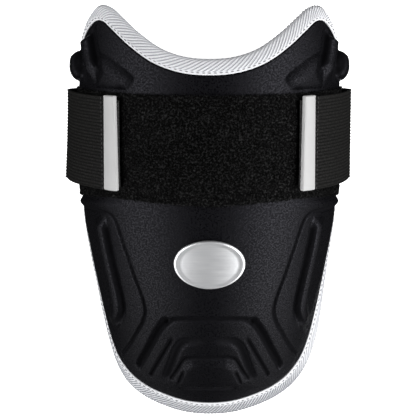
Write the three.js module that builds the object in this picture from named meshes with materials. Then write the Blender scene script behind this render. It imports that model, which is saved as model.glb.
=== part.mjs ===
// Batter's elbow guard: a moulded foam shell with a bound rim, held on by a loop of wide webbing.
// Millimetres, +Z up. The guard lies on its open back with the moulded front upwards.
// X runs across the arm and Y along it, towards the two horns at the upper end.
import * as THREE from "three";

// Thicknesses and clearances
const clearance = 0.3;
const tapeClearance = 0.65;
const panelClearance = 0.65;
const hookClearance = 0.45;
const tabClearance = 0.5;
const badgeSeat = 1.25;
const padThickness = 10;
const rimThickness = 5.6;
const tapeThickness = 0.9;
const tapeWidth = 8.6;
const tapeNose = 1.6;
const seamAllowance = 1.4;
const panelThickness = 1.4;
const hookThickness = 0.8;
const strapThickness = 1.5;
const tabThickness = 3.0;
const badgeThickness = 1.6;

// Webbing, tabs and fastener pieces, placed by angle round the shell and by distance along it
const strapWidth = 50;
const strapMiddle = 44.6;
const strapEndAngle = 44.5;
const strapLeaveAngle = 80;
const strapCornerRadius = 9.6;
const tabWidth = 8.3;
const tabLength = 50.4;
const tabMiddle = 45.2;
const tabMiddleAngle = 41;
const tabBevel = 0.5;
const tabCornerRadius = 1.2;
const hookWidth = 46;
const hookStartAngle = 38;
const hookEndAngle = 70;
const panelTop = 71.2;
const panelEndAngle = 80;
const badgeMiddle = -18.4;
const badgeHalfWidth = 18;
const badgeHalfHeight = 13.5;
const badgeSunk = 0.35;
const badgeRimDrop = 0.6;

// Facets: columns across and rows along the shell's front, both even, and steps of the smaller pieces
const padColumns = 50;
const padRows = 56;
const rimSamples = 600;
const panelColumns = 36;
const panelRows = 3;
const hookColumns = 8;
const hookRows = 2;
const strapFlankSteps = 9;
const strapCornerSteps = 6;
const badgeSides = 24;

// Flat pattern of the front, and the share of it over which the relief and the padding rise from its border
const patternMmPerDegree = 1.2;
const reliefRise = 0.03;
const paddingRise = 0.14;

// Cross-sections of the shell's plain front, each half an ellipse hung from its crown
const sectionRows = [
  { along: 126, halfWidth: 73.0, halfDepth: 62, crown: 58.0 },
  { along: 87, halfWidth: 74.5, halfDepth: 64, crown: 64.0 },
  { along: 42, halfWidth: 74.8, halfDepth: 66, crown: 66.5 },
  { along: 2, halfWidth: 74.0, halfDepth: 68, crown: 65.0 },
  { along: -28, halfWidth: 70.6, halfDepth: 69, crown: 60.5 },
  { along: -58, halfWidth: 66.6, halfDepth: 66, crown: 51.5 },
  { along: -88, halfWidth: 62.2, halfDepth: 58, crown: 38.0 },
  { along: -118, halfWidth: 54.0, halfDepth: 46, crown: 20.5 },
];

// Right half of the rim, from the middle of the scoop over the horn and down the side to the toe
const rimRows = [
  { angle: 0, along: 90.3 },
  { angle: 10, along: 91.3 },
  { angle: 20, along: 95.2 },
  { angle: 30, along: 102.4 },
  { angle: 40, along: 110.8 },
  { angle: 47, along: 115.8 },
  { angle: 53, along: 117.2, corner: "horn" },
  { angle: 59, along: 116.4 },
  { angle: 65.5, along: 112.6 },
  { angle: 72, along: 106.8 },
  { angle: 78, along: 99 },
  { angle: 82.5, along: 91 },
  { angle: 85.6, along: 82 },
  { angle: 87.4, along: 70 },
  { angle: 87.8, along: 45 },
  { angle: 87, along: 20 },
  { angle: 85.4, along: 0 },
  { angle: 82.6, along: -20 },
  { angle: 79.4, along: -40 },
  { angle: 75.6, along: -60 },
  { angle: 70.6, along: -80 },
  { angle: 65, along: -93.5, corner: "toe" },
  { angle: 57, along: -102.5 },
  { angle: 45, along: -108.8 },
  { angle: 31, along: -113.2 },
  { angle: 16, along: -116.7 },
  { angle: 0, along: -117.8 },
];

// How far the rim is drawn in under the shell's side, and over what width
const tuckRows = [
  { along: 118, tuck: 0, reach: 8 },
  { along: 113, tuck: 3.4, reach: 12 },
  { along: 106, tuck: 5, reach: 14 },
  { along: 98, tuck: 5.2, reach: 15 },
  { along: 84, tuck: 4, reach: 15 },
  { along: 45, tuck: 3, reach: 18 },
  { along: 15, tuck: 2.5, reach: 18 },
  { along: -5, tuck: 1.6, reach: 18 },
  { along: -25, tuck: 1.6, reach: 18 },
  { along: -45, tuck: 1.6, reach: 18 },
  { along: -60, tuck: 0.8, reach: 18 },
  { along: -75, tuck: 0.3, reach: 18 },
  { along: -95, tuck: 0, reach: 18 },
];

// How far the bound edge turns out again on the lower half
const flareReach = 13;
const flareBend = 1.5;
const flareRows = [
  { along: 5, flare: 0 },
  { along: -15, flare: 0.85 },
  { along: -30, flare: 1.4 },
  { along: -42, flare: 1.75 },
  { along: -55, flare: 1.85 },
  { along: -80, flare: 1.8 },
  { along: -95, flare: 2.1 },
  { along: -118, flare: 2.3 },
];

// Lower edge of the fastening panel
const panelLowRows = [
  { angle: 0, along: 13.4 },
  { angle: 25, along: 14.8 },
  { angle: 45, along: 15 },
  { angle: 62, along: 13 },
  { angle: 85, along: 9.6 },
];

// Moulded ribs (height above 0) and channels (below 0): reach is half the width, path is [angle, along]
const ribRows = [
  {
    name: "side ridge", height: 2.8, reach: 6.5,
    path: [[52.2, 1.5], [50.4, -16], [48.3, -33.6], [47.4, -45.1], [47.8, -51.2], [51.6, -58.5], [57, -63]],
  },
  {
    name: "side channel", height: -1.6, reach: 5,
    path: [[48.6, -0.5], [47, -16.5], [44.8, -34.3], [43.6, -45.8], [44.2, -52], [47.8, -58.4], [52.8, -63]],
  },
  {
    name: "collar rib", height: 3.6, reach: 6.5,
    path: [[62.4, 99.8], [61.3, 96.4], [59.3, 89.4], [54.3, 80.3]],
  },
  { name: "outer rib", height: 5.8, reach: 7.5, path: [[71.8, 86.8], [72.4, 82]] },
  { name: "roll", height: 1, reach: 3.2, path: [[86, 5.2], [62, 9], [45, 10.8], [30, 11]] },
  {
    name: "outer step", height: -2, reach: 3.6,
    path: [[41.2, -90.6], [31.4, -74.3], [25.2, -62.4], [20.6, -55]],
  },
  { name: "outer step top", height: -1, reach: 2.6, path: [[20.6, -55], [17, -52.6], [0, -51.9]] },
  { name: "middle step", height: -1, reach: 2.4, path: [[33, -92.4], [26, -80.4], [17.4, -63.6]] },
  {
    name: "soft step", height: -1.3, reach: 3.8,
    path: [[24.6, -95], [19.6, -82.5], [15, -70], [11.6, -66.6], [0, -66]],
  },
  {
    name: "inner step", height: -1.2, reach: 2.6,
    path: [[21.8, -94.2], [13, -78.9], [10.6, -77.2], [0, -76.8]],
  },
];

// Raised fields: edge is the width of the slope round them, outline is [angle, along]
const fieldRows = [
  {
    name: "shoulder pod", height: 2.6, edge: 5,
    outline: [[51.5, 92.4], [44, 89.3], [38.6, 85.8], [33.8, 82.2], [31.8, 79.8], [33, 76.6], [54, 76.6]],
  },
  {
    name: "middle field", height: 0.7, edge: 3,
    outline: [
      [-60, 11], [45, 11.6], [62, 9.8], [86, 6], [86, 3], [77, 3.3], [49.4, 5.5], [42.4, -0.7],
      [38.8, -14.2], [31.6, -42.3], [31.1, -49.9], [33.6, -57.4], [43.9, -73.4], [53, -83],
      [53, -100], [-60, -100],
    ],
  },
  {
    name: "toe block", height: 1.3, edge: 5,
    outline: [[-30, -80.5], [8.6, -80.5], [12, -83.5], [18.6, -95], [15, -97], [0, -98], [-30, -98]],
  },
];

// Smooth curve through one column of a table, with the rows in falling or rising order of the key
function curveThrough(rows, key, column) {
  const sorted = [...rows].sort((first, second) => first[key] - second[key]);
  const places = sorted.map((row) => row[key]);
  const values = sorted.map((row) => row[column]);
  const last = places.length - 1;
  const slopes = values.map((_, i) => {
    const before = Math.max(i - 1, 0);
    const after = Math.min(i + 1, last);
    return (values[after] - values[before]) / (places[after] - places[before]);
  });
  return (at) => {
    const place = THREE.MathUtils.clamp(at, places[0], places[last]);
    let i = 0;
    while (i < last - 1 && place > places[i + 1]) i += 1;
    const span = places[i + 1] - places[i];
    const t = (place - places[i]) / span;
    const rise = t * t * (3 - 2 * t);
    const bends = slopes[i] * t * (1 - t) ** 2 - slopes[i + 1] * t * t * (1 - t);
    return values[i] + (values[i + 1] - values[i]) * rise + span * bends;
  };
}

const halfWidthAt = curveThrough(sectionRows, "along", "halfWidth");
const halfDepthAt = curveThrough(sectionRows, "along", "halfDepth");
const crownAt = curveThrough(sectionRows, "along", "crown");
const tuckAt = curveThrough(tuckRows, "along", "tuck");
const tuckReachAt = curveThrough(tuckRows, "along", "reach");
const flareAt = curveThrough(flareRows, "along", "flare");
const panelLowAt = curveThrough(panelLowRows, "angle", "along");
const hornRow = rimRows.findIndex((row) => row.corner === "horn");
const toeRow = rimRows.findIndex((row) => row.corner === "toe");
const sideAngleAt = curveThrough(rimRows.slice(hornRow), "along", "angle");

function smoothRise(amount) {
  return THREE.MathUtils.smoothstep(amount, 0, 1);
}

// Point of the plain front at an angle from the middle line and a distance along the arm
function basePoint(angle, along) {
  const turn = THREE.MathUtils.degToRad(angle);
  const drop = halfDepthAt(along) * (1 - Math.cos(turn));
  return new THREE.Vector3(halfWidthAt(along) * Math.sin(turn), along, crownAt(along) - drop);
}

// Directions across and along the plain front, per degree and per millimetre, and its outward normal
function baseFrame(angle, along) {
  const step = 0.05;
  const across = basePoint(angle + step, along).sub(basePoint(angle - step, along));
  const lengthwise = basePoint(angle, along + step).sub(basePoint(angle, along - step));
  across.divideScalar(2 * step);
  lengthwise.divideScalar(2 * step);
  const normal = across.clone().cross(lengthwise).normalize();
  return { across, lengthwise, normal };
}

// How far the front is drawn in at a place near the side of the rim
function tuckDepth(angle, along) {
  const fromSide = (sideAngleAt(along) - Math.abs(angle)) * patternMmPerDegree;
  return tuckAt(along) * smoothRise(1 - fromSide / tuckReachAt(along));
}

// Point at a height over the drawn-in front
function shellPoint(angle, along, height) {
  const { normal } = baseFrame(angle, along);
  return basePoint(angle, along).addScaledVector(normal, height - tuckDepth(angle, along));
}

function patternPlace([angle, along]) {
  return new THREE.Vector2(angle * patternMmPerDegree, along);
}

function distanceToPath(place, path) {
  let nearest = Infinity;
  for (let i = 0; i + 1 < path.length; i += 1) {
    const start = path[i];
    const run = path[i + 1].clone().sub(start);
    const t = THREE.MathUtils.clamp(place.clone().sub(start).dot(run) / run.lengthSq(), 0, 1);
    nearest = Math.min(nearest, place.distanceTo(start.clone().addScaledVector(run, t)));
  }
  return nearest;
}

function isInside(place, outline) {
  let inside = false;
  for (let i = 0, j = outline.length - 1; i < outline.length; j = i, i += 1) {
    const crosses = outline[i].y > place.y !== outline[j].y > place.y;
    const share = (place.y - outline[i].y) / (outline[j].y - outline[i].y);
    if (crosses && place.x < outline[i].x + share * (outline[j].x - outline[i].x)) inside = !inside;
  }
  return inside;
}

const ribs = ribRows.map((row) => ({ ...row, line: row.path.map(patternPlace) }));
const fields = fieldRows.map((row) => {
  const line = row.outline.map(patternPlace);
  return { ...row, line, closedLine: [...line, line[0]] };
});

// Height of the moulded relief over the plain front
function reliefHeight(angle, along) {
  const place = patternPlace([Math.abs(angle), along]);
  let height = 0;
  for (const rib of ribs) {
    height += rib.height * smoothRise(1 - distanceToPath(place, rib.line) / rib.reach);
  }
  for (const field of fields) {
    const away = distanceToPath(place, field.closedLine);
    const depthInside = isInside(place, field.line) ? away : -away;
    height += field.height * smoothRise(0.5 + depthInside / field.edge);
  }
  return height;
}

// The whole rim as one closed curve in the flat pattern
const rimLeftRows = rimRows.slice(1, -1).reverse();
const rimOrder = [...rimRows, ...rimLeftRows.map((row) => ({ ...row, angle: -row.angle }))];
const rimCurve = new THREE.CatmullRomCurve3(
  rimOrder.map((row) => new THREE.Vector3(row.angle * patternMmPerDegree, row.along, 0)),
  true,
  "centripetal",
);
const rimPlace = (row) => row / rimOrder.length;

// A place on the rim: the edge itself, and the seam where the tape ends on the front
function rimStation(curveAt) {
  const t = (curveAt + 1) % 1;
  const edge = rimCurve.getPoint(t);
  const heading = rimCurve.getTangent(t);
  const angle = edge.x / patternMmPerDegree;
  const { across, lengthwise, normal } = baseFrame(angle, edge.y);
  const sideways = across.clone().multiplyScalar(heading.x / patternMmPerDegree);
  const forward = sideways.addScaledVector(lengthwise, heading.y);
  const inward = forward.cross(normal).normalize();
  const angleIn = inward.dot(across) / across.lengthSq();
  const alongIn = inward.dot(lengthwise) / lengthwise.lengthSq();
  return { angle, along: edge.y, angleIn, alongIn };
}

function insetPlace(station, inset) {
  return [station.angle + station.angleIn * inset, station.along + station.alongIn * inset];
}

function rimPoint(station, inset, height) {
  const flare = flareAt(station.along) * Math.max(0, 1 - inset / flareReach) ** flareBend;
  return shellPoint(...insetPlace(station, inset), height + flare);
}

// Evenly spaced stations along the rim between two of its rows
function stationsBetween(startAt, endAt, count) {
  const lengths = [0];
  let before = rimCurve.getPoint((startAt + 1) % 1);
  for (let i = 1; i <= rimSamples; i += 1) {
    const point = rimCurve.getPoint((startAt + ((endAt - startAt) * i) / rimSamples + 1) % 1);
    lengths.push(lengths[i - 1] + point.distanceTo(before));
    before = point;
  }
  const stations = [];
  let sample = 0;
  for (let i = 0; i <= count; i += 1) {
    const wanted = (lengths[rimSamples] * i) / count;
    while (sample < rimSamples - 1 && lengths[sample + 1] < wanted) sample += 1;
    const share = (wanted - lengths[sample]) / (lengths[sample + 1] - lengths[sample]);
    stations.push(rimStation(startAt + ((endAt - startAt) * (sample + share)) / rimSamples));
  }
  return stations;
}

// The four sides of the front: the toe and the scoop from left to right, the flanks from toe to horn
const toeSide = stationsBetween(1 - rimPlace(toeRow), rimPlace(toeRow), padColumns);
const scoopSide = stationsBetween(-rimPlace(hornRow), rimPlace(hornRow), padColumns);
const rightSide = stationsBetween(rimPlace(toeRow), rimPlace(hornRow), padRows);
const leftSide = stationsBetween(1 - rimPlace(toeRow), 1 - rimPlace(hornRow), padRows);
const rimLoop = [
  ...toeSide.slice(0, -1),
  ...rightSide.slice(0, -1),
  ...[...scoopSide].reverse().slice(0, -1),
  ...[...leftSide].reverse().slice(0, -1),
];
const rimStations = rimLoop.filter((_, i) => i % 2 === 0);

// Place in the flat pattern of a grid line crossing, blended from the four sides
const seamPlace = (station) => insetPlace(station, tapeWidth + seamAllowance);
function patchPlace(column, row) {
  const u = column / padColumns;
  const v = row / padRows;
  const [toe, scoop] = [toeSide[column], scoopSide[column]].map(seamPlace);
  const [left, right] = [leftSide[row], rightSide[row]].map(seamPlace);
  const [toeLeft, toeRight] = [toeSide[0], toeSide[padColumns]].map(seamPlace);
  const [hornLeft, hornRight] = [scoopSide[0], scoopSide[padColumns]].map(seamPlace);
  return [0, 1].map((axis) => {
    const ruled = (1 - v) * toe[axis] + v * scoop[axis] + (1 - u) * left[axis] + u * right[axis];
    const low = (1 - u) * toeLeft[axis] + u * toeRight[axis];
    const high = (1 - u) * hornLeft[axis] + u * hornRight[axis];
    return ruled - (1 - v) * low - v * high;
  });
}

// Share of the way in from the rim, from 0 at the seam to 1
function shareInside(column, row, reach) {
  const u = column / padColumns;
  const v = row / padRows;
  return smoothRise(Math.min(u, 1 - u, v, 1 - v) / reach);
}

function geometryFrom(points, triangles) {
  const geometry = new THREE.BufferGeometry().setFromPoints(points);
  geometry.setIndex(triangles.flat());
  geometry.computeVertexNormals();
  return geometry;
}

// Two triangles of a four-cornered facet, split along its shorter diagonal
function facet(points, a, b, c, d) {
  const straight = points[a].distanceTo(points[c]) <= points[b].distanceTo(points[d]);
  return straight ? [[a, b, c], [a, c, d]] : [[a, b, d], [b, c, d]];
}

function ringIndices(start, count) {
  return Array.from({ length: count }, (_, i) => start + i);
}

// Triangles between two rings of the same count, the second one further out or further round
function bridgeRings(points, inner, outer) {
  const count = inner.length;
  return inner.flatMap((_, i) => {
    const next = (i + 1) % count;
    return facet(points, outer[i], outer[next], inner[next], inner[i]);
  });
}

// Which diagonal is the shorter one at each place of the rim, so that shell and tape are split alike
const splitsAhead = rimStations.map((station, i) => {
  const next = rimStations[(i + 1) % rimStations.length];
  const ahead = rimPoint(station, 0, 0).distanceTo(rimPoint(next, tapeWidth, 0));
  const behind = rimPoint(next, 0, 0).distanceTo(rimPoint(station, tapeWidth, 0));
  return ahead <= behind;
});

// Triangles between two rings of the rim, the second one nearer to its edge or nearer to the seam
function bridgeRim(first, second, nearerEdge) {
  return first.flatMap((_, i) => {
    const next = (i + 1) % first.length;
    const [a, b, c, d] = [second[i], second[next], first[next], first[i]];
    return splitsAhead[i] === nearerEdge ? [[a, b, c], [a, c, d]] : [[a, b, d], [b, c, d]];
  });
}

// Triangles between a ring of twice the count and the ring outside it
function bridgeHalved(fine, coarse) {
  const count = coarse.length;
  return coarse.flatMap((_, i) => {
    const next = (i + 1) % count;
    const middle = fine[2 * i + 1];
    return [
      [coarse[i], middle, fine[2 * i]],
      [coarse[i], coarse[next], middle],
      [coarse[next], fine[(2 * i + 2) % fine.length], middle],
    ];
  });
}

function gridTriangles(points, start, columns, rows, flipped) {
  const triangles = [];
  for (let row = 0; row < rows; row += 1) {
    for (let column = 0; column < columns; column += 1) {
      const a = start + row * (columns + 1) + column;
      const b = a + 1;
      const c = b + columns + 1;
      const d = a + columns + 1;
      triangles.push(...(flipped ? facet(points, a, d, c, b) : facet(points, a, b, c, d)));
    }
  }
  return triangles;
}

// Border of a grid in order, anticlockwise from its first corner
function gridBorder(start, columns, rows) {
  const at = (column, row) => start + row * (columns + 1) + column;
  return [
    ...Array.from({ length: columns }, (_, i) => at(i, 0)),
    ...Array.from({ length: rows }, (_, i) => at(columns, i)),
    ...Array.from({ length: columns }, (_, i) => at(columns - i, rows)),
    ...Array.from({ length: rows }, (_, i) => at(0, rows - i)),
  ];
}

// Foam shell: moulded front, plain back, and a thinner rim that the tape folds over
function padGeometry() {
  const points = [];
  for (let row = 0; row <= padRows; row += 1) {
    for (let column = 0; column <= padColumns; column += 1) {
      const [angle, along] = patchPlace(column, row);
      const seamFade = shareInside(column, row, reliefRise);
      points.push(shellPoint(angle, along, reliefHeight(angle, along) * seamFade));
    }
  }
  const triangles = gridTriangles(points, 0, padColumns, padRows, false);
  let ring = gridBorder(0, padColumns, padRows);
  const count = rimStations.length;
  const tapeRoom = tapeThickness + tapeClearance;
  const rimProfile = [
    { inset: tapeWidth + tapeClearance, height: -tapeRoom },
    { inset: tapeRoom, height: -tapeRoom },
    { inset: tapeRoom, height: tapeRoom - rimThickness },
    { inset: tapeWidth + tapeClearance, height: tapeRoom - rimThickness },
  ];
  rimProfile.forEach(({ inset, height }, i) => {
    const next = ringIndices(points.length, count);
    points.push(...rimStations.map((station) => rimPoint(station, inset, height)));
    const nearerEdge = i > 0 && inset < rimProfile[i - 1].inset;
    triangles.push(...(i === 0 ? bridgeHalved(ring, next) : bridgeRim(ring, next, nearerEdge)));
    ring = next;
  });
  const backStart = points.length;
  const [backColumns, backRows] = [padColumns / 2, padRows / 2];
  for (let row = 0; row <= backRows; row += 1) {
    for (let column = 0; column <= backColumns; column += 1) {
      const [angle, along] = patchPlace(2 * column, 2 * row);
      const swell = (padThickness - rimThickness) * shareInside(2 * column, 2 * row, paddingRise);
      points.push(shellPoint(angle, along, -rimThickness - swell));
    }
  }
  triangles.push(...bridgeRings(points, ring, gridBorder(backStart, backColumns, backRows)));
  triangles.push(...gridTriangles(points, backStart, backColumns, backRows, true));
  return geometryFrom(points, triangles);
}

// Tape folded over the rim: a channel with a rounded nose
function bindingGeometry() {
  const profile = [
    { inset: tapeWidth, height: 0 },
    { inset: tapeNose, height: 0 },
    { inset: 0, height: -rimThickness / 2 },
    { inset: tapeNose, height: -rimThickness },
    { inset: tapeWidth, height: -rimThickness },
    { inset: tapeWidth, height: tapeThickness - rimThickness },
    { inset: tapeThickness, height: tapeThickness - rimThickness },
    { inset: tapeThickness, height: -tapeThickness },
    { inset: tapeWidth, height: -tapeThickness },
  ];
  const count = rimStations.length;
  const points = profile.flatMap(({ inset, height }) =>
    rimStations.map((station) => rimPoint(station, inset, height)),
  );
  const rings = profile.map((_, i) => ringIndices(i * count, count));
  const triangles = rings.flatMap((ring, i) => {
    const next = (i + 1) % rings.length;
    return bridgeRim(ring, rings[next], profile[next].inset < profile[i].inset);
  });
  return geometryFrom(points, triangles);
}

// Closed sheet on the front, from its place as shares of its width and length
function sheetGeometry(columns, rows, placeAt, low, thickness) {
  const points = [];
  for (const height of [low + thickness, low]) {
    for (let row = 0; row <= rows; row += 1) {
      for (let column = 0; column <= columns; column += 1) {
        points.push(shellPoint(...placeAt(column / columns, row / rows), height));
      }
    }
  }
  const lowStart = points.length / 2;
  const triangles = [
    ...gridTriangles(points, 0, columns, rows, false),
    ...gridTriangles(points, lowStart, columns, rows, true),
    ...bridgeRings(points, gridBorder(0, columns, rows), gridBorder(lowStart, columns, rows)),
  ];
  return geometryFrom(points, triangles);
}

// Oval badge that follows the front, with a raised rim
function badgeGeometry(low) {
  const sunk = badgeThickness - badgeSunk;
  const rings = [
    { share: 0.5, rise: sunk },
    { share: 0.8, rise: sunk },
    { share: 0.88, rise: badgeThickness },
    { share: 1, rise: badgeThickness - badgeRimDrop },
    { share: 1, rise: 0 },
    { share: 0.66, rise: 0 },
    { share: 0.33, rise: 0 },
  ];
  const placed = (share, rise, side) => {
    const turn = (side / badgeSides) * 2 * Math.PI;
    const angle = (share * badgeHalfWidth * Math.cos(turn)) / patternMmPerDegree;
    return shellPoint(angle, badgeMiddle + share * badgeHalfHeight * Math.sin(turn), low + rise);
  };
  const points = rings.flatMap(({ share, rise }) =>
    Array.from({ length: badgeSides }, (_, side) => placed(share, rise, side)),
  );
  const top = points.push(placed(0, sunk, 0)) - 1;
  const bottom = points.push(placed(0, 0, 0)) - 1;
  const loops = rings.map((_, i) => ringIndices(i * badgeSides, badgeSides));
  const triangles = loops.slice(1).flatMap((loop, i) => bridgeRings(points, loops[i], loop));
  for (let side = 0; side < badgeSides; side += 1) {
    const next = (side + 1) % badgeSides;
    triangles.push([top, loops[0][side], loops[0][next]]);
    triangles.push([bottom, loops.at(-1)[next], loops.at(-1)[side]]);
  }
  return geometryFrom(points, triangles);
}

// Webbing: one closed band in the section across the arm, from one end over the back to the other
const panelFace = panelClearance + panelThickness;
const hookFace = panelFace + hookClearance + hookThickness;
const strapInside = hookFace + clearance;
function strapGeometry() {
  const bandAt = (height) => {
    const flank = [];
    for (let i = 0; i <= strapFlankSteps; i += 1) {
      const angle = strapEndAngle + ((strapLeaveAngle - strapEndAngle) * i) / strapFlankSteps;
      const { normal } = baseFrame(angle, strapMiddle);
      flank.push(basePoint(angle, strapMiddle).addScaledVector(normal, height));
    }
    const radius = strapCornerRadius - strapThickness + (height - strapInside);
    const leave = basePoint(90, strapMiddle).x + height;
    const centre = { x: leave - radius, z: strapCornerRadius };
    const corner = Array.from({ length: strapCornerSteps + 1 }, (_, i) => {
      const turn = (i / strapCornerSteps) * (Math.PI / 2);
      return new THREE.Vector3(centre.x + radius * Math.cos(turn), 0, centre.z - radius * Math.sin(turn));
    });
    const right = [...flank, ...corner].map((point) => new THREE.Vector2(point.x, point.z));
    const left = right.map((point) => new THREE.Vector2(-point.x, point.y)).reverse();
    return [...right, ...left];
  };
  const outside = bandAt(strapInside + strapThickness);
  const shape = new THREE.Shape([...outside, ...bandAt(strapInside).reverse()]);
  const geometry = new THREE.ExtrudeGeometry(shape, { depth: strapWidth, bevelEnabled: false, steps: 1 });
  geometry.rotateX(Math.PI / 2);
  geometry.translate(0, strapMiddle + strapWidth / 2, 0);
  return geometry;
}

// Moulded grip: a flat bar with round corners
function tabGeometry() {
  const [halfWidth, halfLength] = [tabWidth / 2 - tabBevel, tabLength / 2 - tabBevel];
  const corner = tabCornerRadius;
  const shape = new THREE.Shape();
  shape.absarc(halfWidth - corner, halfLength - corner, corner, 0, Math.PI / 2);
  shape.absarc(corner - halfWidth, halfLength - corner, corner, Math.PI / 2, Math.PI);
  shape.absarc(corner - halfWidth, corner - halfLength, corner, Math.PI, 1.5 * Math.PI);
  shape.absarc(halfWidth - corner, corner - halfLength, corner, 1.5 * Math.PI, 2 * Math.PI);
  const depth = tabThickness - 2 * tabBevel;
  const bevels = { bevelThickness: tabBevel, bevelSize: tabBevel, bevelSegments: 1, curveSegments: 3 };
  const geometry = new THREE.ExtrudeGeometry(shape, { depth, steps: 1, ...bevels });
  geometry.translate(0, 0, tabBevel);
  return geometry;
}

const finishes = {
  knit: new THREE.MeshStandardMaterial({ color: 0x1b1b1d, roughness: 0.85, metalness: 0 }),
  tape: new THREE.MeshStandardMaterial({ color: 0xe4e4e6, roughness: 0.8, metalness: 0 }),
  fuzz: new THREE.MeshStandardMaterial({ color: 0x0d0d0e, roughness: 0.95, metalness: 0 }),
  webbing: new THREE.MeshStandardMaterial({ color: 0x161617, roughness: 0.85, metalness: 0 }),
  hook: new THREE.MeshStandardMaterial({ color: 0x111112, roughness: 0.7, metalness: 0 }),
  grip: new THREE.MeshStandardMaterial({ color: 0xd6d6d8, roughness: 0.5, metalness: 0 }),
  silver: new THREE.MeshStandardMaterial({ color: 0xb9babc, roughness: 0.35, metalness: 0.7 }),
};

const guard = new THREE.Group();

function addPiece(name, geometry, finish, parent = guard) {
  const piece = new THREE.Mesh(geometry, finish);
  piece.name = name;
  parent.add(piece);
  return piece;
}

const panelPlace = (u, v) => {
  const angle = THREE.MathUtils.lerp(-panelEndAngle, panelEndAngle, u);
  return [angle, THREE.MathUtils.lerp(panelLowAt(Math.abs(angle)), panelTop, v)];
};

addPiece("pad_body", padGeometry(), finishes.knit);
addPiece("edge_binding", bindingGeometry(), finishes.tape);
const panelSheet = sheetGeometry(panelColumns, panelRows, panelPlace, panelClearance, panelThickness);
addPiece("loop_panel", panelSheet, finishes.fuzz);
addPiece("elastic_strap", strapGeometry(), finishes.webbing);
addPiece("front_badge", badgeGeometry(badgeSeat), finishes.silver);

for (const [side, sign] of [["left", -1], ["right", 1]]) {
  const hookPlace = (u, v) => {
    const [start, end] = [sign * hookStartAngle, sign * hookEndAngle].sort((a, b) => a - b);
    return [THREE.MathUtils.lerp(start, end, u), strapMiddle + (v - 0.5) * hookWidth];
  };
  const hookSeat = panelFace + hookClearance;
  const hookSheet = sheetGeometry(hookColumns, hookRows, hookPlace, hookSeat, hookThickness);
  addPiece(`hook_patch_${side}`, hookSheet, finishes.hook);
  const seat = new THREE.Group();
  const tabAngle = sign * tabMiddleAngle;
  const { normal } = baseFrame(tabAngle, tabMiddle);
  seat.position.copy(basePoint(tabAngle, tabMiddle).addScaledVector(normal, hookFace + tabClearance));
  seat.rotation.y = Math.atan2(normal.x, normal.z);
  guard.add(seat);
  addPiece(`pull_tab_${side}`, tabGeometry(), finishes.grip, seat);
}

export default guard;
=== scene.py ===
import math

import bmesh
import bpy
import numpy as np
from mathutils import Matrix, Vector


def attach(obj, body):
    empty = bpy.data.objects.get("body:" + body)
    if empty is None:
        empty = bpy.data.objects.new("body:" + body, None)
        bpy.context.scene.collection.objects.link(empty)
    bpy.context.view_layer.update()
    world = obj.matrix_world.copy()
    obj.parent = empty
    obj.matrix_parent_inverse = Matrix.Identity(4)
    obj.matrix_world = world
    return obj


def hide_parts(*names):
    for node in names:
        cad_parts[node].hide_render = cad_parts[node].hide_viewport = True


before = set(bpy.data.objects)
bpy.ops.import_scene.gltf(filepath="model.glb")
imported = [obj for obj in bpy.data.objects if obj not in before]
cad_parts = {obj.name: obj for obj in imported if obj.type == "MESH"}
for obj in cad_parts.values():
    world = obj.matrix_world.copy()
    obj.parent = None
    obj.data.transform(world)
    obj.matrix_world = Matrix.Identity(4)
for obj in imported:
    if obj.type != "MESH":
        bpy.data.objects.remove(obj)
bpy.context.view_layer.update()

mm = 0.001  # tables below are in millimetres and degrees, meshes in metres

# The shell's plain front: half an ellipse at each place along the arm
shell = {
    "padThickness": 10.0,
    "rimThickness": 5.6,
    "mmPerDegree": 1.2,  # flat pattern: degrees round the arm laid out as millimetres
    "arcPerDegree": 1.24,  # millimetres of cloth to a degree over the front
    "rimSteps": {"line": 640, "even": 4000, "tape": 8000},
    "sections": {
        "along": [126, 87, 42, 2, -28, -58, -88, -118],
        "halfWidth": [73.0, 74.5, 74.8, 74.0, 70.6, 66.6, 62.2, 54.0],
        "halfDepth": [62, 64, 66, 68, 69, 66, 58, 46],
        "crown": [58.0, 64.0, 66.5, 65.0, 60.5, 51.5, 38.0, 20.5],
    },
    # right half of the rim as (angle, along), from the scoop over the horn to the toe
    "rim": [
        (0, 90.3), (10, 91.3), (20, 95.2), (30, 102.4), (40, 110.8), (47, 115.8), (53, 117.2),
        (59, 116.4), (65.5, 112.6), (72, 106.8), (78, 99), (82.5, 91), (85.6, 82), (87.4, 70),
        (87.8, 45), (87, 20), (85.4, 0), (82.6, -20), (79.4, -40), (75.6, -60), (70.6, -80),
        (65, -93.5), (57, -102.5), (45, -108.8), (31, -113.2), (16, -116.7), (0, -117.8),
    ],
    "hornRow": 6,
    "toeRow": 21,
    # how far the sides are drawn in towards the rim
    "tuck": {
        "along": [118, 113, 106, 98, 84, 45, 15, -5, -25, -45, -60, -75, -95],
        "depth": [0, 5, 7, 6.4, 4, 3, 2.5, 1.6, 1.6, 1.6, 0.8, 0.3, 0],
        "reach": [8, 9, 10, 11, 15, 18, 18, 18, 18, 18, 18, 18, 18],
    },
    # how far the bound edge turns out again
    "flare": {
        "along": [5, -15, -30, -42, -55, -70, -80, -95, -108, -118],
        "left": [0, 0.7, 0.8, 0.6, 0.3, -0.2, -0.4, 0.6, 2.0, 2.3],
        "right": [0, 1.0, 2.0, 2.9, 3.4, 3.9, 4.0, 3.7, 2.8, 2.3],
        "reach": 13.0, "bend": 1.5,
        "middle": 30.0,  # degrees on either side of the middle line where left passes into right
    },
}


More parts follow.
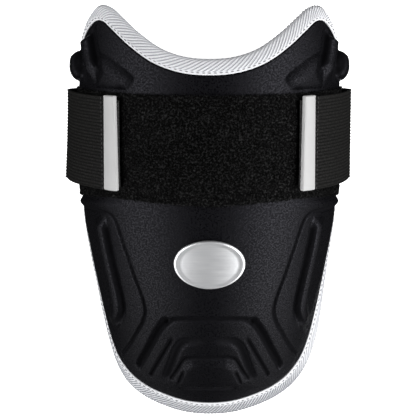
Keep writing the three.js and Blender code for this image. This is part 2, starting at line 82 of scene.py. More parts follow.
def curveThrough(places, values):
    order = np.argsort(places)
    x = np.array(places, float)[order]
    y = np.array(values, float)[order]
    last = len(x) - 1
    before = np.maximum(np.arange(last + 1) - 1, 0)
    after = np.minimum(np.arange(last + 1) + 1, last)
    slopes = (y[after] - y[before]) / (x[after] - x[before])

    def curve(at):
        place = np.clip(at, x[0], x[last])
        i = np.searchsorted(x[1:last], place)
        span = x[i + 1] - x[i]
        t = (place - x[i]) / span
        rise = t * t * (3 - 2 * t)
        bend = slopes[i] * t * (1 - t) ** 2 - slopes[i + 1] * t * t * (1 - t)
        return y[i] + (y[i + 1] - y[i]) * rise + span * bend

    return curve


def smoothRise(amount):
    t = np.clip(amount, 0, 1)
    return t * t * (3 - 2 * t)


sections = shell["sections"]
halfWidthAt = curveThrough(sections["along"], sections["halfWidth"])
halfDepthAt = curveThrough(sections["along"], sections["halfDepth"])
crownAt = curveThrough(sections["along"], sections["crown"])
tuckAt = curveThrough(shell["tuck"]["along"], shell["tuck"]["depth"])
tuckReachAt = curveThrough(shell["tuck"]["along"], shell["tuck"]["reach"])
flareLeftAt = curveThrough(shell["flare"]["along"], shell["flare"]["left"])
flareRightAt = curveThrough(shell["flare"]["along"], shell["flare"]["right"])
sideRows = shell["rim"][shell["hornRow"]:]
sideAngleAt = curveThrough([along for angle, along in sideRows], [angle for angle, along in sideRows])


def basePoints(angle, along):
    turn = np.radians(angle)
    drop = halfDepthAt(along) * (1 - np.cos(turn))
    return np.stack([halfWidthAt(along) * np.sin(turn), along + 0 * turn, crownAt(along) - drop], axis=-1)


def baseFrame(angle, along):
    step = 0.05
    across = (basePoints(angle + step, along) - basePoints(angle - step, along)) / (2 * step)
    lengthwise = (basePoints(angle, along + step) - basePoints(angle, along - step)) / (2 * step)
    normal = np.cross(across, lengthwise)
    return across, lengthwise, normal / np.linalg.norm(normal, axis=-1, keepdims=True)


# The rim as one closed curve in the flat pattern
rimRight = np.array(shell["rim"], float) * [shell["mmPerDegree"], 1]
rimKnots = np.concatenate([rimRight, rimRight[-2:0:-1] * [-1, 1]])


def blendKnots(p0, p1, p2, p3, t):
    spans = ((p0, p1), (p1, p2), (p2, p3))
    d0, d1, d2 = (np.sqrt(np.linalg.norm(b - a, axis=-1, keepdims=True)) for a, b in spans)
    start = ((p1 - p0) / d0 - (p2 - p0) / (d0 + d1) + (p2 - p1) / d1) * d1
    end = ((p2 - p1) / d1 - (p3 - p1) / (d1 + d2) + (p3 - p2) / d2) * d1
    square = 3 * (p2 - p1) - 2 * start - end
    cube = 2 * (p1 - p2) + start + end
    t = t[..., None]
    return p1 + start * t + square * t ** 2 + cube * t ** 3


def rimPlaces(at):
    i = np.floor(at).astype(int)
    knots = [rimKnots[(i + step) % len(rimKnots)] for step in (-1, 0, 1, 2)]
    return blendKnots(*knots, at - i)


rimLine = rimPlaces(np.linspace(0, len(rimKnots), shell["rimSteps"]["line"] + 1)[:-1])


# Distance in the flat pattern from the nearest place on the rim
def distanceToRim(angle, along):
    places = np.stack(np.broadcast_arrays(angle * shell["mmPerDegree"], along), axis=-1).reshape(-1, 2)
    placesAtOnce = 20000
    result = []
    for part in np.array_split(places, max(1, len(places) // placesAtOnce)):
        near = ((part[:, None] - rimLine[None]) ** 2).sum(-1).argmin(axis=1)
        distance = np.full(len(part), np.inf)
        for step in (-1, 0):
            start = rimLine[(near + step) % len(rimLine)]
            run = rimLine[(near + step + 1) % len(rimLine)] - start
            t = np.clip(((part - start) * run).sum(-1) / (run ** 2).sum(-1), 0, 1)
            distance = np.minimum(distance, np.linalg.norm(part - start - t[:, None] * run, axis=1))
        result.append(distance)
    return np.concatenate(result).reshape(np.broadcast(angle, along).shape)


# How far the bound edge is turned out at places near the rim
def flareRise(angle, along):
    flare = shell["flare"]
    onRight = smoothRise((angle + flare["middle"]) / (2 * flare["middle"]))
    whole = flareLeftAt(along) * (1 - onRight) + flareRightAt(along) * onRight
    rise = np.zeros(angle.shape)
    lower = along < flare["along"][0]
    share = 1 - distanceToRim(angle[lower], along[lower]) / flare["reach"]
    rise[lower] = whole[lower] * np.clip(share, 0, 1) ** flare["bend"]
    return rise


def shellPoints(angle, along, height):
    angle, along = np.broadcast_arrays(np.asarray(angle, float), np.asarray(along, float))
    fromSide = (sideAngleAt(along) - np.abs(angle)) * shell["mmPerDegree"]
    tuck = tuckAt(along) * smoothRise(1 - fromSide / tuckReachAt(along))
    normal = baseFrame(angle, along)[2]
    return basePoints(angle, along) + normal * (height - tuck + flareRise(angle, along))[..., None]


def rimStations(at):
    edge = rimPlaces(at)
    step = 0.001
    heading = rimPlaces(at + step) - rimPlaces(at - step)
    angle = edge[..., 0] / shell["mmPerDegree"]
    along = edge[..., 1]
    across, lengthwise, normal = baseFrame(angle, along)
    forward = across * heading[..., :1] / shell["mmPerDegree"] + lengthwise * heading[..., 1:]
    inward = np.cross(forward, normal)
    inward /= np.linalg.norm(inward, axis=-1, keepdims=True)
    angleIn = (inward * across).sum(-1) / (across ** 2).sum(-1)
    alongIn = (inward * lengthwise).sum(-1) / (lengthwise ** 2).sum(-1)
    return {"angle": angle, "along": along, "angleIn": angleIn, "alongIn": alongIn}


def insetPlaces(stations, inset):
    return stations["angle"] + stations["angleIn"] * inset, stations["along"] + stations["alongIn"] * inset


# Places on the rim between two knots, and the run in the flat pattern up to each
def rimRun(start, end, steps):
    places = np.linspace(start, end, steps + 1)
    lengths = np.linalg.norm(np.diff(rimPlaces(places), axis=0), axis=1)
    return places, np.concatenate([[0], np.cumsum(lengths)])


# Evenly spaced places on the rim between two knots
def evenRim(start, end, count):
    places, run = rimRun(start, end, shell["rimSteps"]["even"])
    return np.interp(np.linspace(0, run[-1], count + 1), run, places)


def gridFaces(start, columns, rows, flipped=False):
    corner = start + np.arange(rows)[:, None] * (columns + 1) + np.arange(columns)[None, :]
    faces = np.stack([corner, corner + 1, corner + columns + 2, corner + columns + 1], axis=-1).reshape(-1, 4)
    return faces[:, ::-1] if flipped else faces


def gridBorder(start, columns, rows):
    def at(column, row):
        return start + row * (columns + 1) + column

    return np.concatenate([
        at(np.arange(columns), 0),
        at(columns, np.arange(rows)),
        at(columns - np.arange(columns), rows),
        at(0, rows - np.arange(rows)),
    ])


def ringFaces(inner, outer):
    return np.stack([outer, np.roll(outer, -1), np.roll(inner, -1), inner], axis=-1)


# The same faces pointing the other way, each from the same corner
def turnedOver(faces):
    return faces[:, [0, 3, 2, 1]]


def makePiece(name, points, faces, pattern=None, materialRows=None):
    mesh = bpy.data.meshes.new(name)
    mesh.from_pydata((np.asarray(points) * mm).tolist(), [], [list(map(int, face)) for face in faces])
    mesh.polygons.foreach_set("use_smooth", np.ones(len(mesh.polygons), bool))
    if pattern is not None:  # cloth coordinates in metres
        corners = np.empty(len(mesh.loops), int)
        mesh.loops.foreach_get("vertex_index", corners)
        layer = mesh.uv_layers.new(name="pattern")
        layer.uv.foreach_set("vector", (np.asarray(pattern)[corners] * mm).ravel())
    if materialRows is not None:
        mesh.polygons.foreach_set("material_index", np.asarray(materialRows, int))
    mesh.update()
    piece = bpy.data.objects.new(name, mesh)
    bpy.context.collection.objects.link(piece)
    return piece


def addNumbers(piece, name, values):
    piece.data.attributes.new(name, "FLOAT", "POINT").data.foreach_set("value", np.asarray(values, float))


# Closed sheet between two grids of points, turned over where the grid's columns run against its rows
def closedSheet(name, upper, lower, pattern, turned=False):
    rows, columns = upper.shape[0] - 1, upper.shape[1] - 1
    count = upper.shape[0] * upper.shape[1]
    points = np.concatenate([upper.reshape(-1, 3), lower.reshape(-1, 3)])
    faces = np.concatenate([
        gridFaces(0, columns, rows),
        gridFaces(count, columns, rows, flipped=True),
        ringFaces(gridBorder(0, columns, rows), gridBorder(count, columns, rows)),
    ])
    if turned:
        faces = turnedOver(faces)
    return makePiece(name, points, faces, np.tile(pattern.reshape(-1, 2), (2, 1)))


# Node helpers
def addNode(tree, kind, values=None, **settings):
    node = tree.nodes.new(kind)
    for key, value in settings.items():
        setattr(node, key, value)
    for key, value in (values or {}).items():
        if isinstance(value, bpy.types.NodeSocket):
            tree.links.new(value, node.inputs[key])
        else:
            node.inputs[key].default_value = value
    return node


def doMath(tree, operation, first, second=0.0):
    return addNode(tree, "ShaderNodeMath", {0: first, 1: second}, operation=operation).outputs[0]


def mixNumbers(tree, share, first, second):
    return addNode(tree, "ShaderNodeMix", {0: share, 2: first, 3: second}).outputs[0]


def mixColours(tree, share, first, second):
    return addNode(tree, "ShaderNodeMix", {0: share, 6: first, 7: second}, data_type="RGBA").outputs[2]


def spanNumbers(tree, value, toSpan=(0.0, 1.0), fromSpan=(0.0, 1.0)):
    return addNode(tree, "ShaderNodeMapRange", {
        "Value": value, "From Min": fromSpan[0], "From Max": fromSpan[1],
        "To Min": toSpan[0], "To Max": toSpan[1],
    }).outputs[0]


# A socket is given as its starting number or as its type
def newGroup(name, kind, inputs, outputs):
    tree = bpy.data.node_groups.new(name, kind)
    for label, value in inputs.items():
        numberType = "NodeSocketInt" if isinstance(value, int) else "NodeSocketFloat"
        socketType = value if isinstance(value, str) else numberType
        socket = tree.interface.new_socket(label, in_out="INPUT", socket_type=socketType)
        if not isinstance(value, str):
            socket.default_value = value
    for label, socketType in outputs.items():
        tree.interface.new_socket(label, in_out="OUTPUT", socket_type=socketType)
    return tree, tree.nodes.new("NodeGroupInput"), tree.nodes.new("NodeGroupOutput")


# Woven threads: crossing ridges in cloth coordinates, with loose fibres over them
def threadGroup():
    fibreShare = 0.8  # fibres to a thread of the warp
    tree, given, made = newGroup(
        "crossingThreads", "ShaderNodeTree",
        {"Vector": "NodeSocketVector", "Warp": 900.0, "Weft": 900.0, "Fuzz": 0.3},
        {"Height": "NodeSocketFloat", "Shade": "NodeSocketFloat"},
    )
    place = addNode(tree, "ShaderNodeSeparateXYZ", {0: given.outputs["Vector"]})
    waves = []
    for axis, direction in (("X", "Warp"), ("Y", "Weft")):
        turns = doMath(tree, "MULTIPLY", place.outputs[axis], given.outputs[direction])
        waves.append(doMath(tree, "SINE", doMath(tree, "MULTIPLY", turns, 2 * math.pi)))
    crossing = doMath(tree, "MULTIPLY_ADD", doMath(tree, "MULTIPLY", *waves), 0.5)
    crossing.node.inputs[2].default_value = 0.5
    fibres = addNode(tree, "ShaderNodeTexNoise", {
        "Vector": given.outputs["Vector"], "Detail": 3.0,
        "Scale": doMath(tree, "MULTIPLY", given.outputs["Warp"], fibreShare),
    })
    mixed = mixNumbers(tree, given.outputs["Fuzz"], crossing, fibres.outputs["Fac"])
    tree.links.new(mixed, made.inputs["Height"])
    tree.links.new(fibres.outputs["Fac"], made.inputs["Shade"])
    return tree


# Slow change of tone over a surface
def mottleGroup():
    tree, given, made = newGroup(
        "slowMottle", "ShaderNodeTree",
        {"Vector": "NodeSocketVector", "Scale": 40.0, "Contrast": 1.0},
        {"Tone": "NodeSocketFloat"},
    )
    noise = addNode(tree, "ShaderNodeTexNoise", {
        "Vector": given.outputs["Vector"], "Scale": given.outputs["Scale"], "Detail": 4.0, "Roughness": 0.6,
    })
    fromMiddle = doMath(tree, "SUBTRACT", noise.outputs["Fac"], 0.5)
    spread = doMath(tree, "MULTIPLY", fromMiddle, given.outputs["Contrast"])
    tone = addNode(tree, "ShaderNodeClamp", {"Value": doMath(tree, "ADD", spread, 0.5)})
    tree.links.new(tone.outputs[0], made.inputs["Tone"])
    return tree


threads = threadGroup()
mottle = mottleGroup()


def newMaterial(name, look):
    material = bpy.data.materials.new(name)
    material.use_nodes = True
    tree = material.node_tree
    shader = tree.nodes["Principled BSDF"]
    for socket, value in look.items():
        shader.inputs[socket].default_value = value
    return material, tree, shader


def objectPlace(tree):
    return addNode(tree, "ShaderNodeTexCoord").outputs["Object"]


def addBump(tree, shader, finish, height):
    bump = addNode(tree, "ShaderNodeBump", {
        "Strength": finish["bump"], "Distance": finish["bumpDepth"], "Height": height,
    })
    tree.links.new(bump.outputs[0], shader.inputs["Normal"])


def grey(level):
    return (level, level, level, 1)


# Cloth: two tones mixed by fibres and mottle, threads as bump
def clothMaterial(name, finish):
    material, tree, shader = newMaterial(name, finish["shader"])
    if finish["coords"] == "pattern":
        place = addNode(tree, "ShaderNodeUVMap", uv_map="pattern").outputs["UV"]
    else:
        place = objectPlace(tree)
    weave = addNode(tree, "ShaderNodeGroup", {"Vector": place, **finish["weave"]}, node_tree=threads)
    slow = addNode(tree, "ShaderNodeGroup", {"Vector": place, **finish["mottle"]}, node_tree=mottle)
    fine = spanNumbers(tree, weave.outputs["Shade"], fromSpan=finish["fibres"])
    tone = mixNumbers(tree, finish["slowShare"], fine, slow.outputs["Tone"])
    colour = mixColours(tree, tone, finish["dark"], finish["light"])
    roughness = spanNumbers(tree, fine, finish["rough"])
    if "gapName" in finish:  # painted shade: darker and duller between ribs and in hollows
        gap = addNode(tree, "ShaderNodeAttribute", attribute_name=finish["gapName"])
        shade = doMath(tree, "MULTIPLY", gap.outputs["Fac"], finish["gapShade"])
        colour = mixColours(tree, shade, colour, finish["gap"])
        roughness = mixNumbers(tree, shade, roughness, finish["gapRough"])
    tree.links.new(colour, shader.inputs["Base Color"])
    tree.links.new(roughness, shader.inputs["Roughness"])
    addBump(tree, shader, finish, weave.outputs["Height"])
    return material


# What the cloths have in common, unless a finish says otherwise
plainCloth = {
    # gapShade and gapRough: how strongly painted shade darkens and dulls a cloth whose finish names it
    "coords": "pattern", "slowShare": 0.1, "fibres": (0.35, 0.65), "gapShade": 0.9, "gapRough": 0.95,
}
knitFinish = {
    **plainCloth,
    "dark": (0.0002, 0.0002, 0.0003, 1), "light": (0.0022, 0.0022, 0.0028, 1),
    # gap is the near-black of the painted shade in the pad's grooves
    "gap": (0.0002, 0.0002, 0.0003, 1), "gapName": "paintedHollowShade",
    "fibres": (0.41, 0.6), "weave": {"Warp": 1200.0, "Weft": 1200.0, "Fuzz": 0.6},
    "mottle": {"Scale": 60.0, "Contrast": 1.3},
    "rough": (0.64, 0.16), "bump": 0.5, "bumpDepth": 0.0004,
    "shader": {"Specular IOR Level": 0.1, "Specular Tint": (0.87, 0.86, 1.0, 1)},
}
liningFinish = {
    **plainCloth,
    "dark": (0.008, 0.008, 0.009, 1), "light": (0.018, 0.018, 0.02, 1), "slowShare": 0.5,
    "weave": {"Warp": 800.0, "Weft": 800.0, "Fuzz": 0.2},
    "mottle": {"Scale": 45.0, "Contrast": 1.0},
    "rough": (0.85, 0.7), "bump": 0.4, "bumpDepth": 0.0003,
    "shader": {"Specular IOR Level": 0.3, "Sheen Weight": 0.1},
}
tapeFinish = {
    **plainCloth,
    "dark": (0.48, 0.485, 0.505, 1), "light": (0.64, 0.642, 0.66, 1), "slowShare": 0.5,
    # gap is painted shade along the lines between the tape's ribs
    "gap": (0.13, 0.138, 0.155, 1), "gapName": "paintedRibGapShade",
    "weave": {"Warp": 1500.0, "Weft": 1500.0, "Fuzz": 0.3},
    "mottle": {"Scale": 50.0, "Contrast": 0.9},
    "rough": (0.9, 0.75), "bump": 0.3, "bumpDepth": 0.0002,
    "shader": {"Specular IOR Level": 0.3, "Sheen Weight": 0.1},
}
webbingFinish = {
    **plainCloth,
    # gap is painted shade along the lines between the webbing's ribs
    "dark": grey(0.001), "light": (0.009, 0.0087, 0.008, 1), "gap": grey(0.0003), "gapName": "paintedRibGapShade",
    "weave": {"Warp": 1100.0, "Weft": 570.0, "Fuzz": 0.25},
    "mottle": {"Scale": 50.0, "Contrast": 1.2},
    "rough": (0.75, 0.5), "bump": 0.5, "bumpDepth": 0.0003,
    "shader": {"Specular IOR Level": 0.1},
}
pileFinish = {
    **plainCloth,
    "coords": "object", "dark": grey(0.0002), "light": grey(0.021),
    "fibres": (0.5, 0.68), "weave": {"Warp": 1200.0, "Weft": 1200.0, "Fuzz": 0.8},
    "mottle": {"Scale": 55.0, "Contrast": 1.2},
    "rough": (0.75, 0.5), "bump": 0.3, "bumpDepth": 0.0002,
    "shader": {"Specular IOR Level": 0.03},
}
hookFinish = {
    **plainCloth,
    "coords": "object", "dark": grey(0.008), "light": grey(0.02), "slowShare": 0.3,
    "weave": {"Warp": 600.0, "Weft": 600.0, "Fuzz": 0.1},
    "mottle": {"Scale": 60.0, "Contrast": 1.0},
    "rough": (0.6, 0.4), "bump": 0.8, "bumpDepth": 0.0006,
    "shader": {"Specular IOR Level": 0.5},
}
stitchFinish = {
    **plainCloth,
    "coords": "object", "dark": (0.11, 0.11, 0.115, 1), "light": (0.2, 0.2, 0.21, 1), "slowShare": 0.4,
    "weave": {"Warp": 2500.0, "Weft": 2500.0, "Fuzz": 0.3},
    "mottle": {"Scale": 90.0, "Contrast": 1.2},
    "rough": (0.7, 0.5), "bump": 0.4, "bumpDepth": 0.0001,
    "shader": {"Specular IOR Level": 0.4},
}
webbingStitchFinish = {**stitchFinish, "dark": grey(0.025), "light": grey(0.05)}
knitCloth = clothMaterial("knitCloth", knitFinish)
liningCloth = clothMaterial("liningCloth", liningFinish)
twillTape = clothMaterial("twillTape", tapeFinish)
ribbedWebbing = clothMaterial("ribbedWebbing", webbingFinish)
loopPile = clothMaterial("loopPile", pileFinish)
hookTape = clothMaterial("hookTape", hookFinish)
greyThread = clothMaterial("greyThread", stitchFinish)
blackThread = clothMaterial("blackThread", webbingStitchFinish)


gripFinish = {
    "dark": (0.3, 0.299, 0.3, 1), "light": (0.355, 0.353, 0.353, 1), "rough": (0.42, 0.55),
    "mottle": {"Scale": 70.0, "Contrast": 0.8}, "pebbles": 1800.0, "bump": 0.15, "bumpDepth": 0.0002,
    "shader": {"Specular IOR Level": 0.45},
}
badgeFinish = {
    "dark": (0.6, 0.61, 0.63, 1), "light": (0.74, 0.745, 0.755, 1), "rough": (0.34, 0.5),
    "brushing": (60.0, 2600.0, 60.0), "bump": 0.1, "bumpDepth": 0.0001,
    "shader": {"Metallic": 0.85},
}


# Colour and roughness between the two ends of a finish
def toneFinish(tree, shader, finish, tone):
    tree.links.new(mixColours(tree, tone, finish["dark"], finish["light"]), shader.inputs["Base Color"])
    tree.links.new(spanNumbers(tree, tone, finish["rough"]), shader.inputs["Roughness"])


# Moulded grip: pale rubber with a fine pebbled skin
def gripMaterial():
    material, tree, shader = newMaterial("gripRubber", gripFinish["shader"])
    place = objectPlace(tree)
    slow = addNode(tree, "ShaderNodeGroup", {"Vector": place, **gripFinish["mottle"]}, node_tree=mottle)
    toneFinish(tree, shader, gripFinish, slow.outputs["Tone"])
    pebble = addNode(tree, "ShaderNodeTexVoronoi", {"Vector": place, "Scale": gripFinish["pebbles"]})
    addBump(tree, shader, gripFinish, pebble.outputs["Distance"])
    return material


# Badge: satin metal, brushed across
def badgeMaterial():
    material, tree, shader = newMaterial("satinSilver", badgeFinish["shader"])
    stretched = addNode(tree, "ShaderNodeMapping", {
        "Vector": objectPlace(tree), "Scale": badgeFinish["brushing"],
    })
    brushed = addNode(tree, "ShaderNodeTexNoise", {
        "Vector": stretched.outputs[0], "Scale": 1.0, "Detail": 2.0,
    })
    toneFinish(tree, shader, badgeFinish, brushed.outputs["Fac"])
    addBump(tree, shader, badgeFinish, brushed.outputs["Fac"])
    return material


gripRubber = gripMaterial()
satinSilver = badgeMaterial()
print("materials made")


# Geometry Nodes trees
def newShapeTree(name, inputs):
    geometry = {"Geometry": "NodeSocketGeometry"}
    return newGroup(name, "GeometryNodeTree", {**geometry, **inputs}, geometry)


def namedNumbers(tree, name):
    return addNode(tree, "GeometryNodeInputNamedAttribute", {"Name": name}, data_type="FLOAT").outputs[0]


# Each tree ends with real geometry and its material
def endTree(tree, made, geometry, material, smooth=False):
    last = addNode(tree, "GeometryNodeRealizeInstances", {0: geometry}).outputs[0]
    if smooth:
        last = addNode(tree, "GeometryNodeSetShadeSmooth", {0: last}).outputs[0]
    painted = addNode(tree, "GeometryNodeSetMaterial", {"Geometry": last, "Material": material})
    tree.links.new(painted.outputs[0], made.inputs[0])
    return tree


def raisedRibsTree():
    tree, given, made = newShapeTree(
        "raisedRibs", {"Rib height": 0.0002, "Rib flatness": 3.0, "Cloth": "NodeSocketMaterial"},
    )
    mask = namedNumbers(tree, "ribMask")
    fromMiddle = doMath(tree, "SUBTRACT", doMath(tree, "FRACT", namedNumbers(tree, "ribPhase")), 0.5)
    toGap = doMath(tree, "MULTIPLY", doMath(tree, "ABSOLUTE", fromMiddle), 2.0)
    gap = doMath(tree, "POWER", toGap, given.outputs["Rib flatness"])
    rise = doMath(tree, "MULTIPLY", doMath(tree, "SUBTRACT", 1.0, gap), given.outputs["Rib height"])
    offset = addNode(tree, "ShaderNodeVectorMath", {
        0: addNode(tree, "GeometryNodeInputNormal").outputs[0], "Scale": doMath(tree, "MULTIPLY", rise, mask),
    }, operation="SCALE")
    # painted shade: how dark the cloth is painted along the lines between ribs
    marked = addNode(tree, "GeometryNodeStoreNamedAttribute", {
        "Geometry": given.outputs[0], "Name": "paintedRibGapShade", "Value": doMath(tree, "MULTIPLY", gap, mask),
    }, data_type="FLOAT", domain="POINT")
    moved = addNode(tree, "GeometryNodeSetPosition", {
        "Geometry": marked.outputs[0], "Offset": offset.outputs[0],
    })
    return endTree(tree, made, moved.outputs[0], given.outputs["Cloth"])


def stitchRowTree():
    tree, given, made = newShapeTree(
        "stitchRow", {"Pitch": 0.003, "Length": 0.0018, "Width": 0.0006, "Thread": "NodeSocketMaterial"},
    )
    path = addNode(tree, "GeometryNodeMeshToCurve", {0: given.outputs["Geometry"]})
    places = addNode(tree, "GeometryNodeResampleCurve", {
        "Curve": path.outputs[0], "Length": given.outputs["Pitch"],
    }, mode="LENGTH")
    bead = addNode(tree, "GeometryNodeMeshUVSphere", {"Segments": 8, "Rings": 5, "Radius": 0.5})
    size = addNode(tree, "ShaderNodeCombineXYZ", {
        "X": given.outputs["Length"], "Y": given.outputs["Width"], "Z": given.outputs["Width"],
    })
    stitch = addNode(tree, "GeometryNodeTransform", {"Geometry": bead.outputs[0], "Scale": size.outputs[0]})
    heading = addNode(tree, "FunctionNodeAlignRotationToVector", {
        "Vector": addNode(tree, "GeometryNodeInputTangent").outputs[0],
    }, axis="X")
    placed = addNode(tree, "GeometryNodeInstanceOnPoints", {
        "Points": places.outputs[0], "Instance": stitch.outputs[0], "Rotation": heading.outputs[0],
    })
    return endTree(tree, made, placed.outputs[0], given.outputs["Thread"], smooth=True)


def loopPileTree():
    tuckedIn = 0.25  # radians that a loop goes on past half a circle at each foot
    smallest, largest = 0.7, 1.35
    tree, given, made = newShapeTree(
        "loopPileField",
        {"Loops per square metre": 1.0e6, "Loop radius": 0.0008, "Strand radius": 0.00015, "Lean": 0.7,
         "Seed": 5, "Strand": "NodeSocketMaterial"},
    )
    seed, lean = given.outputs["Seed"], given.outputs["Lean"]
    perSquare = given.outputs["Loops per square metre"]
    density = doMath(tree, "MULTIPLY", namedNumbers(tree, "pileShare"), perSquare)
    spots = addNode(tree, "GeometryNodeDistributePointsOnFaces", {
        "Mesh": given.outputs["Geometry"], "Density": density, "Seed": seed,
    })
    arc = addNode(tree, "GeometryNodeCurveArc", {
        "Resolution": 4, "Radius": given.outputs["Loop radius"],
        "Start Angle": -tuckedIn, "Sweep Angle": math.pi + 2 * tuckedIn,
    })
    section = addNode(tree, "GeometryNodeCurvePrimitiveCircle", {
        "Resolution": 3, "Radius": given.outputs["Strand radius"],
    })
    strand = addNode(tree, "GeometryNodeCurveToMesh", {
        "Curve": arc.outputs[0], "Profile Curve": section.outputs[0], "Fill Caps": True,
    })
    upright = addNode(tree, "GeometryNodeTransform", {
        "Geometry": strand.outputs[0], "Rotation": (math.pi / 2, 0, 0),
    })
    otherLean = doMath(tree, "MULTIPLY", lean, -1.0)
    low = addNode(tree, "ShaderNodeCombineXYZ", {"X": otherLean, "Y": otherLean, "Z": -math.pi})
    high = addNode(tree, "ShaderNodeCombineXYZ", {"X": lean, "Y": lean, "Z": math.pi})
    turn = addNode(tree, "FunctionNodeRandomValue", {
        "Min": low.outputs[0], "Max": high.outputs[0], "Seed": seed,
    }, data_type="FLOAT_VECTOR")
    turned = addNode(tree, "FunctionNodeRotateRotation", {
        "Rotation": spots.outputs["Rotation"], "Rotate By": turn.outputs[0],
    }, rotation_space="LOCAL")
    size = addNode(tree, "FunctionNodeRandomValue", {
        2: smallest, 3: largest, "Seed": seed,
    }, data_type="FLOAT")
    placed = addNode(tree, "GeometryNodeInstanceOnPoints", {
        "Points": spots.outputs[0], "Instance": upright.outputs[0],
        "Rotation": turned.outputs[0], "Scale": size.outputs[1],
    })
    return endTree(tree, made, placed.outputs[0], given.outputs["Strand"], smooth=True)


def growNodes(host, tree, values):
    modifier = host.modifiers.new(tree.name, "NODES")
    modifier.node_group = tree
    for item in tree.interface.items_tree:
        if item.in_out == "INPUT" and item.name in values:
            modifier[item.identifier] = values[item.name]
    depsgraph = bpy.context.evaluated_depsgraph_get()
    grown = bpy.data.meshes.new_from_object(
        host.evaluated_get(depsgraph), preserve_all_data_layers=True, depsgraph=depsgraph
    )
    host.modifiers.remove(modifier)
    bare = host.data
    host.data = grown
    bpy.data.meshes.remove(bare)
    grown.name = host.name


raisedRibs = raisedRibsTree()
stitchRow = stitchRowTree()
pileField = loopPileTree()


def pathPiece(name, points, closed):
    count = len(points)
    edges = [(i, i + 1) for i in range(count - 1)] + ([(count - 1, 0)] if closed else [])
    mesh = bpy.data.meshes.new(name)
    mesh.from_pydata((points * mm).tolist(), edges, [])
    path = bpy.data.objects.new(name, mesh)
    bpy.context.collection.objects.link(path)
    return path


def settle(piece, nodes=(), material=None):
    if material is not None:
        piece.data.materials.clear()
        piece.data.materials.append(material)
    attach(piece, "root")
    if nodes:
        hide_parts(*nodes)
    return piece


def sewStitches(name, points, closed, stitch, thread):
    path = pathPiece(name, points, closed)
    sizes = {label: stitch[label.lower()] * mm for label in ("Pitch", "Length", "Width")}
    growNodes(path, stitchRow, {**sizes, "Thread": thread})
    return settle(path)


